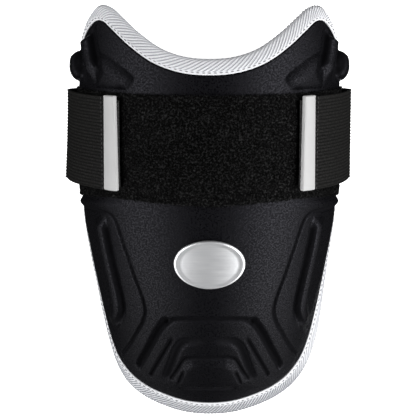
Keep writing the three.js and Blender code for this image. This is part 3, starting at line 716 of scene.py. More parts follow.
# Moulded pad: relief paths are (angle, along) on the right half, mirrored
pad = {
    "columns": 268, "rows": 300, "backStep": 4, "noseSteps": 6,
    "fieldInset": 9.5, "seamFade": 0.016, "swellReach": 0.14, "shadeReach": 1.3,
    # left and right are how far the slope reaches on either hand of the path, shade how far painted shade
    # darkens each hand, dome the hand with a round slope, start and fade the runs in which it rises and dies
    # away
    "ribs": {
        "side ridge": {
            "height": 3.1, "left": 7.5, "right": 5.5, "dome": "right", "start": 7, "fade": 14,
            "path": [(54.6, 3.5), (53.8, -6), (52.8, -16), (50.7, -33.6), (49.8, -45.1), (50.2, -51.4),
                     (53.6, -59), (60, -66)],
        },
        "side channel": {
            "height": -1.5, "left": 1.8, "right": 2.2, "shade": (1.5, 1.3), "start": 4, "fade": 8,
            "path": [(50.0, -0.5), (48.5, -16.5), (46.3, -34.3), (45.2, -45.8), (45.7, -52),
                     (49.2, -58.6), (54.3, -63.2)],
        },
        "collar rib": {
            "height": 4.2, "left": 6.5, "right": 6.4, "dome": "right", "start": 3.5, "fade": 12,
            "path": [(63.8, 99.8), (62.7, 96.4), (60.7, 89.4), (56.6, 81.4), (52.2, 75)],
        },
        "collar valley": {
            "height": -1.0, "left": 2.5, "right": 3.5, "shade": (2.6, 1.6), "fade": 8,
            "path": [(57.6, 101.6), (57, 99), (55, 91.6), (53.1, 86.7), (50.6, 83)],
        },
        "outer rib": {
            "height": 6.0, "left": 8.4, "right": 7.0, "dome": "both",
            "path": [(72, 85.4), (72.2, 83.4)],
        },
        "outer valley": {
            "height": -0.6, "left": 2.0, "right": 2.4, "shade": (2.6, 2.6),
            "path": [(68, 94.5), (67.8, 90), (67.4, 83), (65, 77.5)],
        },
        "roll": {
            "height": 1.5, "left": 3.6, "right": 3.6, "fade": 42,
            "path": [(86, 5.2), (62, 9), (45, 10.8), (30, 11)],
        },
        "field crease": {
            "height": -1.6, "left": 1.1, "right": 1.1, "shade": (0.9, 0.9),
            "path": [(77, 3.3), (58.6, 5.4), (49.6, 5.5), (45.2, 3.6), (42.9, -0.7), (39.3, -14.2),
                     (35.5, -29.6), (32.1, -42.3), (31.6, -49.9), (34.1, -57.4), (38, -63.8),
                     (44.4, -73.4), (53.2, -83)],
        },
        "outer step": {
            "height": -2.4, "left": 1.6, "right": 4.6, "shade": (2.0, 2.6), "start": 3,
            "path": [(41.2, -90.6), (31.4, -74.3), (25.2, -62.4), (20.6, -55)],
        },
        "outer step top": {
            "height": -1.5, "left": 1.3, "right": 2.2, "shade": (1.2, 1.2),
            "path": [(20.6, -56.2), (17, -52.9), (13.4, -52.2), (0, -51.9)],
        },
        "middle step": {
            "height": -1.6, "left": 1.3, "right": 1.5, "fade": 5, "shade": (1.3, 1.3),
            "path": [(33, -92.4), (26, -80.4), (20.4, -69.5), (17.4, -63.6)],
        },
        "soft step": {
            "height": -1.5, "left": 3.2, "right": 3.6, "shade": (2.2, 2.2), "start": 5, "fade": 18,
            "path": [(24.6, -95), (19.6, -82.5), (15, -70), (11.6, -66.6), (0, -66)],
        },
        "inner step": {
            "height": -1.6, "left": 1.3, "right": 1.4, "shade": (1.2, 1.2), "start": 2,
            "path": [(21.8, -94.2), (17, -86.3), (13, -78.9), (10.6, -77.2), (0, -76.8)],
        },
        "block crease": {
            "height": -1.4, "left": 1.2, "right": 1.4, "shade": (1.2, 1.2), "fade": 4,
            "path": [(16.6, -94.6), (12.5, -85.2)],
        },
        "base crease": {
            "height": -1.6, "left": 1.2, "right": 1.6, "shade": (1.2, 1.2), "fade": 5,
            "path": [(0, -98.7), (9, -98.4), (16, -97.6)],
        },
    },
    # edge is the width of the slope round a raised field
    "fields": {
        "shoulder pod": {
            "height": 3.0, "edge": 9.0, "domed": True,
            "outline": [(51.5, 92.4), (48, 91.3), (44, 89.3), (38.6, 85.8), (33.8, 82.2), (31.8, 79.8),
                        (32, 77.2), (35, 73), (54, 73)],
        },
        "middle field": {
            "height": 0.3, "edge": 4.0,
            "outline": [(-60, 12), (45, 12.6), (62, 10.8), (86, 7), (86, 3), (77, 3.3), (58.6, 5.4),
                        (49.4, 5.5), (44.8, 3.4), (42.4, -0.7), (38.8, -14.2), (35, -29.6),
                        (31.6, -42.3), (31.1, -49.9), (33.6, -57.4), (43.9, -73.4), (53, -83),
                        (53, -100), (-60, -100)],
        },
        "toe block": {
            "height": 1.3, "edge": 5.0,
            "outline": [(-30, -80.5), (8.6, -80.5), (12, -83.5), (18.6, -95), (15, -97), (0, -98),
                        (-30, -98)],
        },
    },
    "gathers": {"height": 0.16, "pitch": 1.5, "fan": 0.09, "middle": (66, 8.2), "reach": (14, 4.5)},
}


def smoothPath(path, steps=8):
    knots = np.array(path, float) * [shell["mmPerDegree"], 1]
    padded = np.concatenate([[2 * knots[0] - knots[1]], knots, [2 * knots[-1] - knots[-2]]])
    t = np.arange(steps) / steps
    runs = [blendKnots(*padded[i:i + 4], t) for i in range(len(knots) - 1)]
    return np.concatenate([*runs, knots[-1:]])


# Distance to a line, the hand of the line that each place is on, and how much of the line is still to run
def distanceToLine(places, line):
    nearest = np.full(len(places), np.inf)
    onLeft = np.zeros(len(places), bool)
    toRun = np.zeros(len(places))
    left = np.linalg.norm(np.diff(line, axis=0), axis=1).sum()
    for start, end in zip(line[:-1], line[1:]):
        run = end - start
        length = np.linalg.norm(run)
        away = places - start
        t = np.clip(away @ run / length ** 2, 0, 1)
        distance = np.linalg.norm(away - t[:, None] * run, axis=1)
        closer = distance < nearest
        nearest[closer] = distance[closer]
        onLeft[closer] = (run[0] * away[:, 1] - run[1] * away[:, 0] > 0)[closer]
        toRun[closer] = (left - t * length)[closer]
        left -= length
    return nearest, onLeft, toRun


def insideOutline(places, outline):
    inside = np.zeros(len(places), bool)
    for start, end in zip(outline, np.roll(outline, -1, axis=0)):
        crosses = (start[1] > places[:, 1]) != (end[1] > places[:, 1])
        rise = end[1] - start[1] if end[1] != start[1] else 1.0
        edgeX = start[0] + (places[:, 1] - start[1]) / rise * (end[0] - start[0])
        inside ^= crosses & (places[:, 0] < edgeX)
    return inside


# Rise of a rib or crease, and the painted shade that darkens it
def ribRise(rib, places, line):
    distance, onLeft, toRun = distanceToLine(places, line)
    share = np.clip(distance / np.where(onLeft, rib["left"], rib["right"]), 0, 1)
    domed = {"both": True, "right": ~onLeft}.get(rib.get("dome"), False)
    bell = np.where(domed, np.sqrt(1 - share ** 2), smoothRise(1 - share))
    fade = np.ones(len(places))
    if "fade" in rib:
        fade = fade * smoothRise(toRun / rib["fade"])
    if "start" in rib:
        fade = fade * smoothRise((toRun.max(initial=0) - toRun) / rib["start"])
    dark = np.zeros(len(places))
    # painted shade: the cloth is darkened in and beside the groove, where shade would fall
    if "shade" in rib:
        dark = smoothRise(pad["shadeReach"] - distance / np.where(onLeft, *rib["shade"])) * fade
    return rib["height"] * bell * fade, dark


def fieldRise(field, places):
    outline = np.array(field["outline"], float) * [shell["mmPerDegree"], 1]
    distance = distanceToLine(places, np.concatenate([outline, outline[:1]]))[0]
    depth = np.where(insideOutline(places, outline), distance, -distance)
    if "domed" in field:
        inward = np.clip(depth / field["edge"], 0, 1)
        return field["height"] * (inward * (2 - inward))
    return field["height"] * smoothRise(depth / field["edge"] + 0.5)


def gatherRise(places):
    gathers = pad["gathers"]
    across = (places - np.array(gathers["middle"]) * [shell["mmPerDegree"], 1]) / gathers["reach"]
    waves = np.sin(2 * np.pi * (places[:, 1] + gathers["fan"] * places[:, 0]) / gathers["pitch"])
    return gathers["height"] * waves * smoothRise(1 - np.linalg.norm(across, axis=1))


def reliefHeights(angle, along):
    places = np.stack([np.abs(angle) * shell["mmPerDegree"], along], axis=1)
    height = np.zeros(len(places))
    paintedHollowShade = np.zeros(len(places))
    for rib in pad["ribs"].values():
        line = smoothPath(rib["path"])
        reach = max(rib["left"], rib["right"])
        near = ((places > line.min(axis=0) - reach) & (places < line.max(axis=0) + reach)).all(axis=1)
        rise, dark = ribRise(rib, places[near], line)
        height[near] += rise
        paintedHollowShade[near] = np.maximum(paintedHollowShade[near], dark)
    for field in pad["fields"].values():
        height += fieldRise(field, places)
    return height + gatherRise(places), paintedHollowShade


def seamPlaces(at, inset):
    stations = rimStations(at)
    return np.stack(insetPlaces(stations, inset + tapeExtra(stations)), axis=-1)


# The front's grid in the flat pattern, blended from the four sides of the rim
def patchPlaces(columns, rows, inset):
    knotCount, horn, toe = len(rimKnots), shell["hornRow"], shell["toeRow"]
    sides = {
        "toe": evenRim(knotCount - toe, toe, columns),
        "scoop": evenRim(-horn, horn, columns),
        "left": evenRim(knotCount - toe, knotCount - horn, rows),
        "right": evenRim(toe, horn, rows),
    }
    toeSide, scoop, left, right = (seamPlaces(at, inset) for at in sides.values())
    u = np.linspace(0, 1, columns + 1)[None, :, None]
    v = np.linspace(0, 1, rows + 1)[:, None, None]
    ruled = (1 - v) * toeSide[None] + v * scoop[None] + (1 - u) * left[:, None] + u * right[:, None]
    low = (1 - u) * toeSide[0] + u * toeSide[-1]
    high = (1 - u) * scoop[0] + u * scoop[-1]
    around = [sides["toe"][:-1], sides["right"][:-1], sides["scoop"][:0:-1], sides["left"][:0:-1]]
    return ruled - (1 - v) * low - v * high, np.concatenate(around)


def shareInside(columns, rows, reach):
    u = np.linspace(0, 1, columns + 1)[None, :]
    v = np.linspace(0, 1, rows + 1)[:, None]
    return smoothRise(np.minimum(np.minimum(u, 1 - u), np.minimum(v, 1 - v)) / reach)


binding = {
    "width": 8.6, "thickness": 0.9, "clearance": 0.45, "toeExtra": 0.9, "toeStart": -85.0, "toeReach": 20.0,
    # the middle of a rib lies by its depth below its two edges
    "ribPitch": 2.6, "ribSlant": 36.0, "ribDepth": 0.45, "ribFlatness": 2.2, "toeRibs": 0.5,
    "ribEnds": {"start": 0.2, "rise": 0.6, "fall": 2.0},
    "selvedge": 1.1, "crown": 0.45, "stitchDip": 0.25, "dipWidth": 0.45,
    # rows of points across the front leg, and steps round the nose, down the back leg and round the inside
    "legRows": (0, 0.25, 0.55, 0.8, 1.1, 1.4, 1.8, 2.4, 3.2, 4.1, 5.0),
    "noseSteps": 10, "backSteps": 5, "insideSteps": 6, "stationsPerRib": 8,
    "stitch": {"fromEdge": 1.1, "pitch": 3.0, "length": 1.8, "width": 0.55, "lift": 0.15, "pathSteps": 1400},
}


# At the toe the tape takes in more of the front, its ribs are deeper and the painted shade between them
# darker
def toeShare(stations):
    return smoothRise((binding["toeStart"] - stations["along"]) / binding["toeReach"])


def tapeExtra(stations):
    return binding["toeExtra"] * toeShare(stations)


def toPattern(angle, along):
    return np.stack([angle * shell["mmPerDegree"], along], axis=-1)


def makePad():
    columns, rows, step = pad["columns"], pad["rows"], pad["backStep"]
    places, rimAt = patchPlaces(columns, rows, pad["fieldInset"])
    angle, along = places[..., 0].ravel(), places[..., 1].ravel()
    relief, paintedHollowShade = reliefHeights(angle, along)
    points = [shellPoints(angle, along, relief * shareInside(columns, rows, pad["seamFade"]).ravel())]
    pattern = [toPattern(angle, along)]
    front = gridFaces(0, columns, rows)
    edge = gridBorder(0, columns, rows)
    # rim under the tape: in below the front leg, round the nose and out along the back leg
    rimCentre = shell["rimThickness"] / 2
    noseRadius = rimCentre - binding["thickness"] - binding["clearance"]
    legInset = binding["width"] + binding["clearance"]
    turns = np.linspace(0, math.pi, pad["noseSteps"] + 1)
    profile = [(legInset, noseRadius - rimCentre)]
    profile += [(rimCentre - noseRadius * math.sin(t), noseRadius * math.cos(t) - rimCentre) for t in turns]
    profile += [(legInset, -noseRadius - rimCentre)]
    stations = rimStations(rimAt)
    rim = []
    for inset, height in profile:
        ring = sum(map(len, points)) + np.arange(len(rimAt))
        extra = tapeExtra(stations) if inset == legInset else 0.0
        ringAngle, ringAlong = insetPlaces(stations, inset + extra)
        points.append(shellPoints(ringAngle, ringAlong, np.full(len(rimAt), height)))
        pattern.append(toPattern(ringAngle, ringAlong))
        rim.append(ringFaces(edge, ring))
        edge = ring
    # plain back, coarser than the front
    backColumns, backRows = columns // step, rows // step
    backStart = sum(map(len, points))
    backPlaces = places[::step, ::step].reshape(-1, 2)
    swell = shareInside(backColumns, backRows, pad["swellReach"]).ravel()
    swell *= shell["padThickness"] - shell["rimThickness"]
    points.append(shellPoints(backPlaces[:, 0], backPlaces[:, 1], -shell["rimThickness"] - swell))
    pattern.append(toPattern(backPlaces[:, 0], backPlaces[:, 1]))
    back = gridFaces(backStart, backColumns, backRows, flipped=True)
    backEdge = gridBorder(backStart, backColumns, backRows)
    fans = []
    for i, corner in enumerate(backEdge):
        fine = [edge[(step * i + k) % len(edge)] for k in range(step, -1, -1)]
        fans.append([corner, backEdge[(i + 1) % len(backEdge)], *fine])
    faces = [*front.tolist(), *np.concatenate(rim).tolist(), *fans, *back.tolist()]
    outside = len(front) + sum(map(len, rim))
    rowsOfMaterial = [0] * outside + [1] * (len(faces) - outside)
    piece = makePiece("padCover", np.concatenate(points), faces, np.concatenate(pattern), rowsOfMaterial)
    # painted shade in the grooves of the front's relief, none on the rim and back
    addNumbers(piece, "paintedHollowShade", np.concatenate([paintedHollowShade, np.zeros(len(piece.data.vertices) - len(paintedHollowShade))]))
    piece.data.materials.append(knitCloth)
    piece.data.materials.append(liningCloth)
    settle(piece, ["pad_body"])


makePad()
print("pad made")


# Section of the tape: from its edge on the front over the nose and the back leg, then back along the inside
def tapeSection():
    width, thickness, selvedge = binding["width"], binding["thickness"], binding["selvedge"]
    backSteps, insideSteps = binding["backSteps"], binding["insideSteps"]
    radius = shell["rimThickness"] / 2
    innerRadius = radius - thickness
    leg = width - radius
    legRun = np.array([*binding["legRows"], leg])
    stitchDip = binding["stitchDip"] * np.exp(-((legRun - selvedge) / binding["dipWidth"]) ** 2)
    legHeight = binding["crown"] * np.sin(np.pi * np.clip(legRun / leg, 0, 1)) - stitchDip
    turns = np.linspace(0, np.pi, binding["noseSteps"] + 1)[1:]
    insideTurns = np.linspace(np.pi, 0, insideSteps + 1)
    inset = np.concatenate([
        width - legRun, radius - radius * np.sin(turns), np.linspace(radius, width, backSteps + 1)[1:],
        [width], radius - innerRadius * np.sin(insideTurns), [width],
    ])
    height = np.concatenate([
        legHeight, radius * np.cos(turns) - radius, np.full(backSteps, -2 * radius),
        [-2 * radius + thickness], innerRadius * np.cos(insideTurns) - radius, [-thickness],
    ])
    backRun = leg + np.pi * radius + np.linspace(0, leg, backSteps + 1)[1:]
    outsideRun = np.concatenate([legRun, leg + radius * turns, backRun])
    whole = outsideRun[-1]
    insideRun = np.concatenate([[whole], np.linspace(whole - leg, leg, insideSteps + 1), [0]])
    across = np.concatenate([outsideRun, insideRun])
    onOutside = np.concatenate([np.ones(len(outsideRun)), np.zeros(len(insideRun))])
    ends = binding["ribEnds"]
    fromSelvedge = smoothRise((across - selvedge - ends["start"]) / ends["rise"])
    ribs = onOutside * fromSelvedge * smoothRise((whole - across) / ends["fall"])
    return {"across": across, "inset": inset, "height": height, "ribs": ribs, "whole": whole}


# Tape folded over the rim, its grid slanted along the ribs
def makeBinding():
    section = tapeSection()
    across, inset = section["across"], section["inset"]
    rimAt, rimLengths = rimRun(0, len(rimKnots), shell["rimSteps"]["tape"])
    length = rimLengths[-1]
    count = round(length / binding["ribPitch"]) * binding["stationsPerRib"]
    slant = 1 / math.tan(math.radians(binding["ribSlant"]))
    run = np.arange(count)[None, :] * length / count + slant * across[:, None]
    stations = rimStations(np.interp(run % length, rimLengths, rimAt))
    radius = shell["rimThickness"] / 2
    legShare = np.clip((inset - radius) / (binding["width"] - radius), 0, 1)[:, None]
    angle, along = insetPlaces(stations, inset[:, None] + legShare * tapeExtra(stations))
    points = shellPoints(angle, along, section["height"][:, None] + 0 * angle)
    rings = np.arange(len(across))[:, None] * count + np.arange(count)[None, :]
    faces = np.concatenate([ringFaces(rings[i], rings[(i + 1) % len(rings)]) for i in range(len(rings))])
    pattern = np.stack([run, across[:, None] + 0 * run], axis=-1)
    piece = makePiece("edgeTape", points.reshape(-1, 3), turnedOver(faces), pattern.reshape(-1, 2))
    # the mask deepens the ribs and darkens the painted shade between them towards the toe
    mask = section["ribs"][:, None] * (1 + binding["toeRibs"] * toeShare(stations))
    addNumbers(piece, "ribPhase", np.tile(np.arange(count) / binding["stationsPerRib"], len(across)))
    addNumbers(piece, "ribMask", mask.ravel())
    growNodes(piece, raisedRibs, {
        "Rib height": -binding["ribDepth"] * mm, "Rib flatness": binding["ribFlatness"], "Cloth": twillTape,
    })
    settle(piece, ["edge_binding"])
    return piece, length, section["whole"]


def makeTapeStitches():
    stitch = binding["stitch"]
    stations = rimStations(evenRim(0, len(rimKnots), stitch["pathSteps"])[:-1])
    angle, along = insetPlaces(stations, binding["width"] - stitch["fromEdge"] + tapeExtra(stations))
    points = shellPoints(angle, along, np.full(len(angle), stitch["lift"]))
    return sewStitches("tapeStitches", points, True, stitch, greyThread)


edgeTape, tapeLength, tapeCut = makeBinding()
tapeStitches = makeTapeStitches()
print("edge tape made,", round(tapeLength), "mm long and", round(tapeCut, 1), "mm wide before folding")


# Loop panel across the front, with its pile
panel = {
    "columns": 200, "rows": 56, "top": 71.2, "endAngle": 80.0, "under": 0.25, "face": 2.0,
    "low": {"angle": [0, 25, 45, 62, 85], "along": [13.4, 14.8, 15, 13, 9.6]},
    "cutLow": 13.0,  # low edge of the cloth as it is cut
    "lumps": 0.12, "seed": 11,
    "loopsPerSquareMetre": 1.5e6, "loopRadius": 0.58, "strandRadius": 0.12, "pileRoom": 0.9,
    "coveredAngle": (36.6, 82.0), "coveredAlong": (18.6, 70.6),
}


def makePanel():
    lowAt = curveThrough(panel["low"]["angle"], panel["low"]["along"])
    u = np.linspace(-1, 1, panel["columns"] + 1)[None, :]
    v = np.linspace(0, 1, panel["rows"] + 1)[:, None]
    angle = u * panel["endAngle"] + 0 * v
    low = lowAt(np.abs(angle))
    along = low + (panel["top"] - low) * v
    lumps = np.random.default_rng(panel["seed"]).normal(0, panel["lumps"], angle.shape)
    upper = shellPoints(angle, along, panel["face"] - panel["pileRoom"] + lumps)
    lower = shellPoints(angle, along, np.full(angle.shape, panel["under"]))
    piece = closedSheet("fuzzyPanel", upper, lower, toPattern(angle, along))
    settle(piece, ["loop_panel"], loopPile)
    return piece, angle, along


def makePile(angle, along):
    heights = (panel["face"] - panel["pileRoom"], panel["under"])
    upper, lower = (shellPoints(angle, along, np.full(angle.shape, height)) for height in heights)
    host = closedSheet("panelPile", upper, lower, toPattern(angle, along))
    covered = (np.abs(angle) > panel["coveredAngle"][0]) & (np.abs(angle) < panel["coveredAngle"][1])
    covered &= (along > panel["coveredAlong"][0]) & (along < panel["coveredAlong"][1])
    share = np.where(covered, 0.0, 1.0).ravel()
    addNumbers(host, "pileShare", np.concatenate([share, np.zeros(len(share))]))
    growNodes(host, pileField, {
        "Loops per square metre": panel["loopsPerSquareMetre"], "Loop radius": panel["loopRadius"] * mm,
        "Strand radius": panel["strandRadius"] * mm, "Strand": loopPile,
    })
    return settle(host)


fuzzyPanel, panelAngle, panelAlong = makePanel()
panelPile = makePile(panelAngle, panelAlong)
print("panel made with", len(panelPile.data.polygons), "pile faces")


# Webbing: a band round the arm, ribbed along its length
strap = {
    "width": 50.0, "thickness": 1.5, "middle": 44.6, "inside": 3.55,
    "endAngle": 44.5, "leaveAngle": 80.0, "cornerRadius": 9.6,
    "acrossSteps": 256, "flankSteps": 16, "cornerSteps": 12, "backSteps": 23,
    "ribPitch": 1.75, "ribDepth": 0.38, "ribFlatness": 2.5, "backRibs": 0.3,
    "plainEdge": 0.7, "roundEdge": 0.5, "thinEdge": 0.45,
    # how far the lower edge stands off at the sides, from which distance off the middle and over what width
    "flare": {"left": 2.2, "right": 0.4, "start": 60.0, "over": 16.0, "bend": 1.5},
    "stitch": {
        "fromEnd": 1.8, "pitch": 2.3, "length": 1.5, "width": 0.5, "lift": 0.12, "reach": 0.48, "points": 30,
    },
}


# Middle line of the band in the section across the arm, and its outward direction
def strapLine():
    height = strap["inside"] + strap["thickness"] / 2
    angle = np.linspace(strap["endAngle"], strap["leaveAngle"], strap["flankSteps"] + 1)
    along = np.full(len(angle), strap["middle"])
    normal = baseFrame(angle, along)[2]
    flank = basePoints(angle, along) + normal * height
    radius = strap["cornerRadius"] - strap["thickness"] / 2
    centre = np.array([basePoints(90.0, strap["middle"])[0] + height - radius, 0, strap["cornerRadius"]])
    turn = np.linspace(0, np.pi / 2, strap["cornerSteps"] + 1)
    outward = np.stack([np.cos(turn), 0 * turn, -np.sin(turn)], axis=-1)
    corner = centre + radius * outward
    flat = np.linspace(corner[-1], corner[-1] * [0, 1, 1], strap["backSteps"] + 1)[1:]
    down = np.tile([0.0, 0.0, -1.0], (len(flat), 1))
    right = np.concatenate([flank, corner, flat])
    facing = np.concatenate([normal, outward, down])
    mirror = np.array([-1.0, 1.0, 1.0])
    line = np.concatenate([right, right[-2::-1] * mirror])
    return line, np.concatenate([facing, facing[-2::-1] * mirror])


def makeStrap():
    line, facing = strapLine()
    flare = strap["flare"]
    across = np.linspace(-0.5, 0.5, strap["acrossSteps"] + 1) * strap["width"]
    pastEdge = np.abs(across) - strap["width"] / 2
    middle = np.stack([line[:, 0], np.full(len(line), strap["middle"]), line[:, 2]], axis=-1)
    grid = middle[:, None] + across[None, :, None] * np.array([0.0, 1.0, 0.0])
    sideways = smoothRise((np.abs(line[:, 0]) - flare["start"]) / flare["over"])
    standOff = np.where(line[:, 0] < 0, flare["left"], flare["right"]) * sideways
    lower = (0.5 - across / strap["width"]) ** flare["bend"]
    grid = grid + facing[:, None] * [1.0, 0.0, 0.0] * (standOff[:, None] * lower[None])[..., None]
    atEdge = np.clip((pastEdge + strap["roundEdge"]) / strap["roundEdge"], 0, 1)
    half = strap["thickness"] / 2 * (1 - strap["thinEdge"] * atEdge ** 2)
    offset = facing[:, None] * half[None, :, None]
    run = np.concatenate([[0], np.cumsum(np.linalg.norm(np.diff(middle, axis=0), axis=1))])
    pattern = np.stack([run[:, None] + 0 * across[None], across[None] + 0 * run[:, None]], axis=-1)
    piece = closedSheet("webbingLoop", grid + offset, grid - offset, pattern, turned=True)
    phase = np.tile(across / strap["ribPitch"], (len(line), 1)).ravel()
    inner = np.ones((len(line), len(across)))
    inner[:, np.abs(across) > strap["width"] / 2 - strap["plainEdge"]] = 0
    inner[[0, -1]] = 0
    addNumbers(piece, "ribPhase", np.tile(phase, 2))
    addNumbers(piece, "ribMask", np.concatenate([inner.ravel(), strap["backRibs"] * inner.ravel()]))
    growNodes(piece, raisedRibs, {
        "Rib height": -strap["ribDepth"] * mm, "Rib flatness": strap["ribFlatness"], "Cloth": ribbedWebbing,
    })
    settle(piece, ["elastic_strap"])
    return piece, run[-1]


def makeStrapStitches(sign, side):
    stitch = strap["stitch"]
    angle = strap["endAngle"] + stitch["fromEnd"] / shell["mmPerDegree"]
    normal = baseFrame(angle, strap["middle"])[2]
    height = strap["inside"] + strap["thickness"] + stitch["lift"]
    place = basePoints(angle, strap["middle"]) + normal * height
    points = np.tile([sign * place[0], strap["middle"], place[2]], (stitch["points"], 1))
    points[:, 1] += np.linspace(-stitch["reach"], stitch["reach"], stitch["points"]) * strap["width"]
    return sewStitches("webbingStitches" + side, points, False, stitch, blackThread)


webbingLoop, strapLength = makeStrap()
bothSides = ((-1, "Left"), (1, "Right"))
strapStitches = [makeStrapStitches(sign, side) for sign, side in bothSides]
print("webbing made,", round(strapLength), "mm long")


# Hook tape under the strap's ends
hooks = {
    "width": 46.0, "startAngle": 38.0, "endAngle": 70.0, "low": 2.45, "thickness": 0.8,
    "columns": 32, "rows": 40,
}


def makeHooks(sign, side):
    start, end = sorted((sign * hooks["startAngle"], sign * hooks["endAngle"]))
    angle = np.linspace(start, end, hooks["columns"] + 1)[None, :]
    along = strap["middle"] + np.linspace(-0.5, 0.5, hooks["rows"] + 1)[:, None] * hooks["width"]
    angle, along = np.broadcast_arrays(angle, along)
    high = np.full(angle.shape, hooks["low"] + hooks["thickness"])
    upper, lower = shellPoints(angle, along, high), shellPoints(angle, along, high - hooks["thickness"])
    piece = closedSheet("hookTape" + side, upper, lower, toPattern(angle, along))
    settle(piece, ["hook_patch_" + side.lower()], hookTape)


# Moulded grips at the strap's ends
grip = {
    "width": 8.0, "length": 50.4, "thickness": 3.0, "middle": 45.2, "middleAngle": 41.0, "seat": 3.75,
    "taper": 0.09, "crown": 0.35, "widthSteps": 8, "lengthSteps": 24,
    # edges sharper than this many radians are rounded
    "sharp": 0.7, "round": 0.75, "roundSteps": 4, "roundProfile": 0.6,
}


def makeGrip(sign, side):
    mesh = bmesh.new()
    bmesh.ops.create_grid(mesh, x_segments=grip["widthSteps"], y_segments=grip["lengthSteps"], size=0.5)
    body = bmesh.ops.extrude_face_region(mesh, geom=mesh.faces[:])
    lifted = [v for v in body["geom"] if isinstance(v, bmesh.types.BMVert)]
    bmesh.ops.translate(mesh, verts=lifted, vec=(0, 0, 1))
    bmesh.ops.recalc_face_normals(mesh, faces=mesh.faces)
    crown = grip["crown"]
    for v in mesh.verts:
        x, y, z = v.co
        wide = grip["width"] * (1 - 2 * grip["taper"] * y)
        top = (grip["thickness"] - crown) + crown * (1 - (2 * x) ** 2)
        v.co = Vector((x * wide, y * grip["length"], z * top))
    rims = [e for e in mesh.edges if e.calc_face_angle(0) > grip["sharp"]]
    bmesh.ops.bevel(
        mesh, geom=rims, offset=grip["round"], segments=grip["roundSteps"],
        profile=grip["roundProfile"], affect="EDGES",
    )
    angle = sign * grip["middleAngle"]
    normal = baseFrame(angle, grip["middle"])[2]
    seat = basePoints(angle, grip["middle"]) + normal * grip["seat"]
    place = Matrix.Translation(Vector(seat)) @ Matrix.Rotation(math.atan2(normal[0], normal[2]), 4, "Y")
    mesh.transform(Matrix.Scale(mm, 4) @ place)
    data = bpy.data.meshes.new("pullGrip" + side)
    mesh.to_mesh(data)
    mesh.free()
    data.polygons.foreach_set("use_smooth", np.ones(len(data.polygons), bool))
    piece = bpy.data.objects.new("pullGrip" + side, data)
    bpy.context.collection.objects.link(piece)
    settle(piece, ["pull_tab_" + side.lower()], gripRubber)


for sign, side in bothSides:
    makeHooks(sign, side)
    makeGrip(sign, side)
print("hook tape and grips made")


# Plain oval badge with a rolled rim
badge = {
    "middle": -18.4, "halfWidth": 18.0, "halfHeight": 13.5, "seat": 1.0, "sides": 120,
    # share of the way out from the middle, and rise over the seat
    "profile": [(0.02, 1.45), (0.3, 1.42), (0.6, 1.34), (0.78, 1.22), (0.83, 1.2), (0.86, 1.35), (0.9, 1.68),
                (0.94, 1.78), (0.975, 1.62), (0.995, 1.2), (1.0, 0.8), (1.0, 0.0), (0.6, 0.0), (0.02, 0.0)],
}


def makeBadge():
    sides = badge["sides"]
    turn = np.arange(sides) / sides * 2 * np.pi
    points = []
    for share, rise in badge["profile"]:
        angle = share * badge["halfWidth"] * np.cos(turn) / shell["mmPerDegree"]
        along = badge["middle"] + share * badge["halfHeight"] * np.sin(turn)
        points.append(shellPoints(angle, along, np.full(sides, badge["seat"] + rise)))
    rings = np.arange(len(points))[:, None] * sides + np.arange(sides)[None, :]
    faces = [face for i in range(len(rings) - 1) for face in ringFaces(rings[i], rings[i + 1]).tolist()]
    faces += [rings[0].tolist(), rings[-1][::-1].tolist()]
    piece = makePiece("ovalBadge", np.concatenate(points), faces)
    settle(piece, ["front_badge"], satinSilver)


makeBadge()
print("badge made")

# Studio: pale floor, two large side lights, two low lights towards the toe and a dim world
studio = {
    "floorSize": 6.0, "floorDrop": 0.0003, "floorGlow": 0.98, "floorReflected": 0.02, "worldStrength": 0.03,
    "floorTones": (grey(0.9), grey(0.93)),
    "floorMottle": {"Scale": 1.5, "Contrast": 0.3},
    "floorShader": {"Roughness": 0.9, "Specular IOR Level": 0.1},
    "aim": (0, 0.005, 0.035),
    # turn is the angle from straight above towards the side, lean towards the horns, reach the distance
    "lights": [
        {"turn": 57, "lean": -5, "reach": 1.1, "length": 2.2, "width": 0.7,
         "power": {"leftLight": 22.5, "rightLight": 32.0}},
        {"turn": 44, "lean": -78, "reach": 1.0, "length": 0.8, "width": 0.4,
         "power": {"lowLeftLight": 2.2, "lowRightLight": 3.1}},
    ],
}
view = {
    "target": (-0.8, 6.6, 35.0), "distance": 650.0, "tilt": 11.0,
    "focalPixels": 1181.8, "framePixels": 416, "sensorWidth": 36.0,
}


# One look for the camera and another for the light that goes round
def mixByRay(tree, other, seen, outputNode):
    rays = addNode(tree, "ShaderNodeLightPath")
    mixed = addNode(tree, "ShaderNodeMixShader", {0: rays.outputs["Is Camera Ray"], 1: other, 2: seen})
    tree.links.new(mixed.outputs[0], tree.nodes[outputNode].inputs["Surface"])


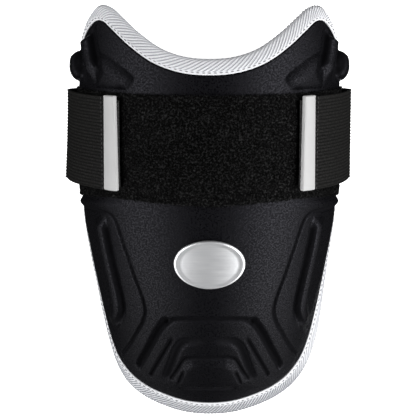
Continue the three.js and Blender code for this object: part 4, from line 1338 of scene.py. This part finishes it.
def makeFloor():
    material, tree, shader = newMaterial("paleFloor", studio["floorShader"])
    mottleInputs = {"Vector": objectPlace(tree), **studio["floorMottle"]}
    slow = addNode(tree, "ShaderNodeGroup", mottleInputs, node_tree=mottle)
    colour = mixColours(tree, slow.outputs["Tone"], *studio["floorTones"])
    tree.links.new(colour, shader.inputs["Base Color"])
    # a lit table seen from the camera, duller where the guard reflects it
    shader.inputs["Emission Color"].default_value = (1, 1, 1, 1)
    shader.inputs["Emission Strength"].default_value = studio["floorGlow"]
    dull = addNode(tree, "ShaderNodeBsdfDiffuse", {"Color": grey(studio["floorReflected"])})
    mixByRay(tree, dull.outputs[0], shader.outputs[0], "Material Output")
    half = studio["floorSize"] / 2 / mm
    corners = np.array([(-half, -half), (half, -half), (half, half), (-half, half)])
    points = np.column_stack([corners, np.full(4, -studio["floorDrop"] / mm)])
    floor = makePiece("paleFloor", points, [(0, 1, 2, 3)])
    floor.data.materials.append(material)


def makeWorld():
    world = bpy.data.worlds.new("paleStudio")
    world.use_nodes = True
    tree = world.node_tree
    dim, bright = (
        addNode(tree, "ShaderNodeBackground", {"Color": (1, 1, 1, 1), "Strength": strength}).outputs[0]
        for strength in (studio["worldStrength"], studio["floorGlow"])
    )
    mixByRay(tree, dim, bright, "World Output")
    bpy.context.scene.world = world


def makeLight(name, row, sign):
    data = bpy.data.lights.new(name, "AREA")
    data.shape = "ELLIPSE"
    data.size = row["length"]
    data.size_y = row["width"]
    data.energy = row["power"][name]
    light = bpy.data.objects.new(name, data)
    turn, lean = math.radians(sign * row["turn"]), math.radians(row["lean"])
    away = Vector((math.sin(turn), math.sin(lean) * math.cos(turn), math.cos(lean) * math.cos(turn)))
    light.location = Vector(studio["aim"]) + away * row["reach"]
    light.rotation_euler = away.to_track_quat("Z", "Y").to_euler()
    bpy.context.collection.objects.link(light)


def makeCamera():
    data = bpy.data.cameras.new("photoView")
    data.sensor_width = view["sensorWidth"]
    data.lens = view["focalPixels"] / view["framePixels"] * data.sensor_width
    camera = bpy.data.objects.new("photoView", data)
    tilt = math.radians(view["tilt"])
    away = Vector((0, math.sin(tilt), math.cos(tilt)))
    camera.location = (Vector(view["target"]) + away * view["distance"]) * mm
    camera.rotation_euler = (-tilt, 0, 0)
    bpy.context.collection.objects.link(camera)
    bpy.context.scene.camera = camera


makeFloor()
makeWorld()
for row in studio["lights"]:
    for sign, name in zip((-1, 1), row["power"]):
        makeLight(name, row, sign)
makeCamera()
bpy.context.scene.view_settings.view_transform = "Standard"
print("studio made")
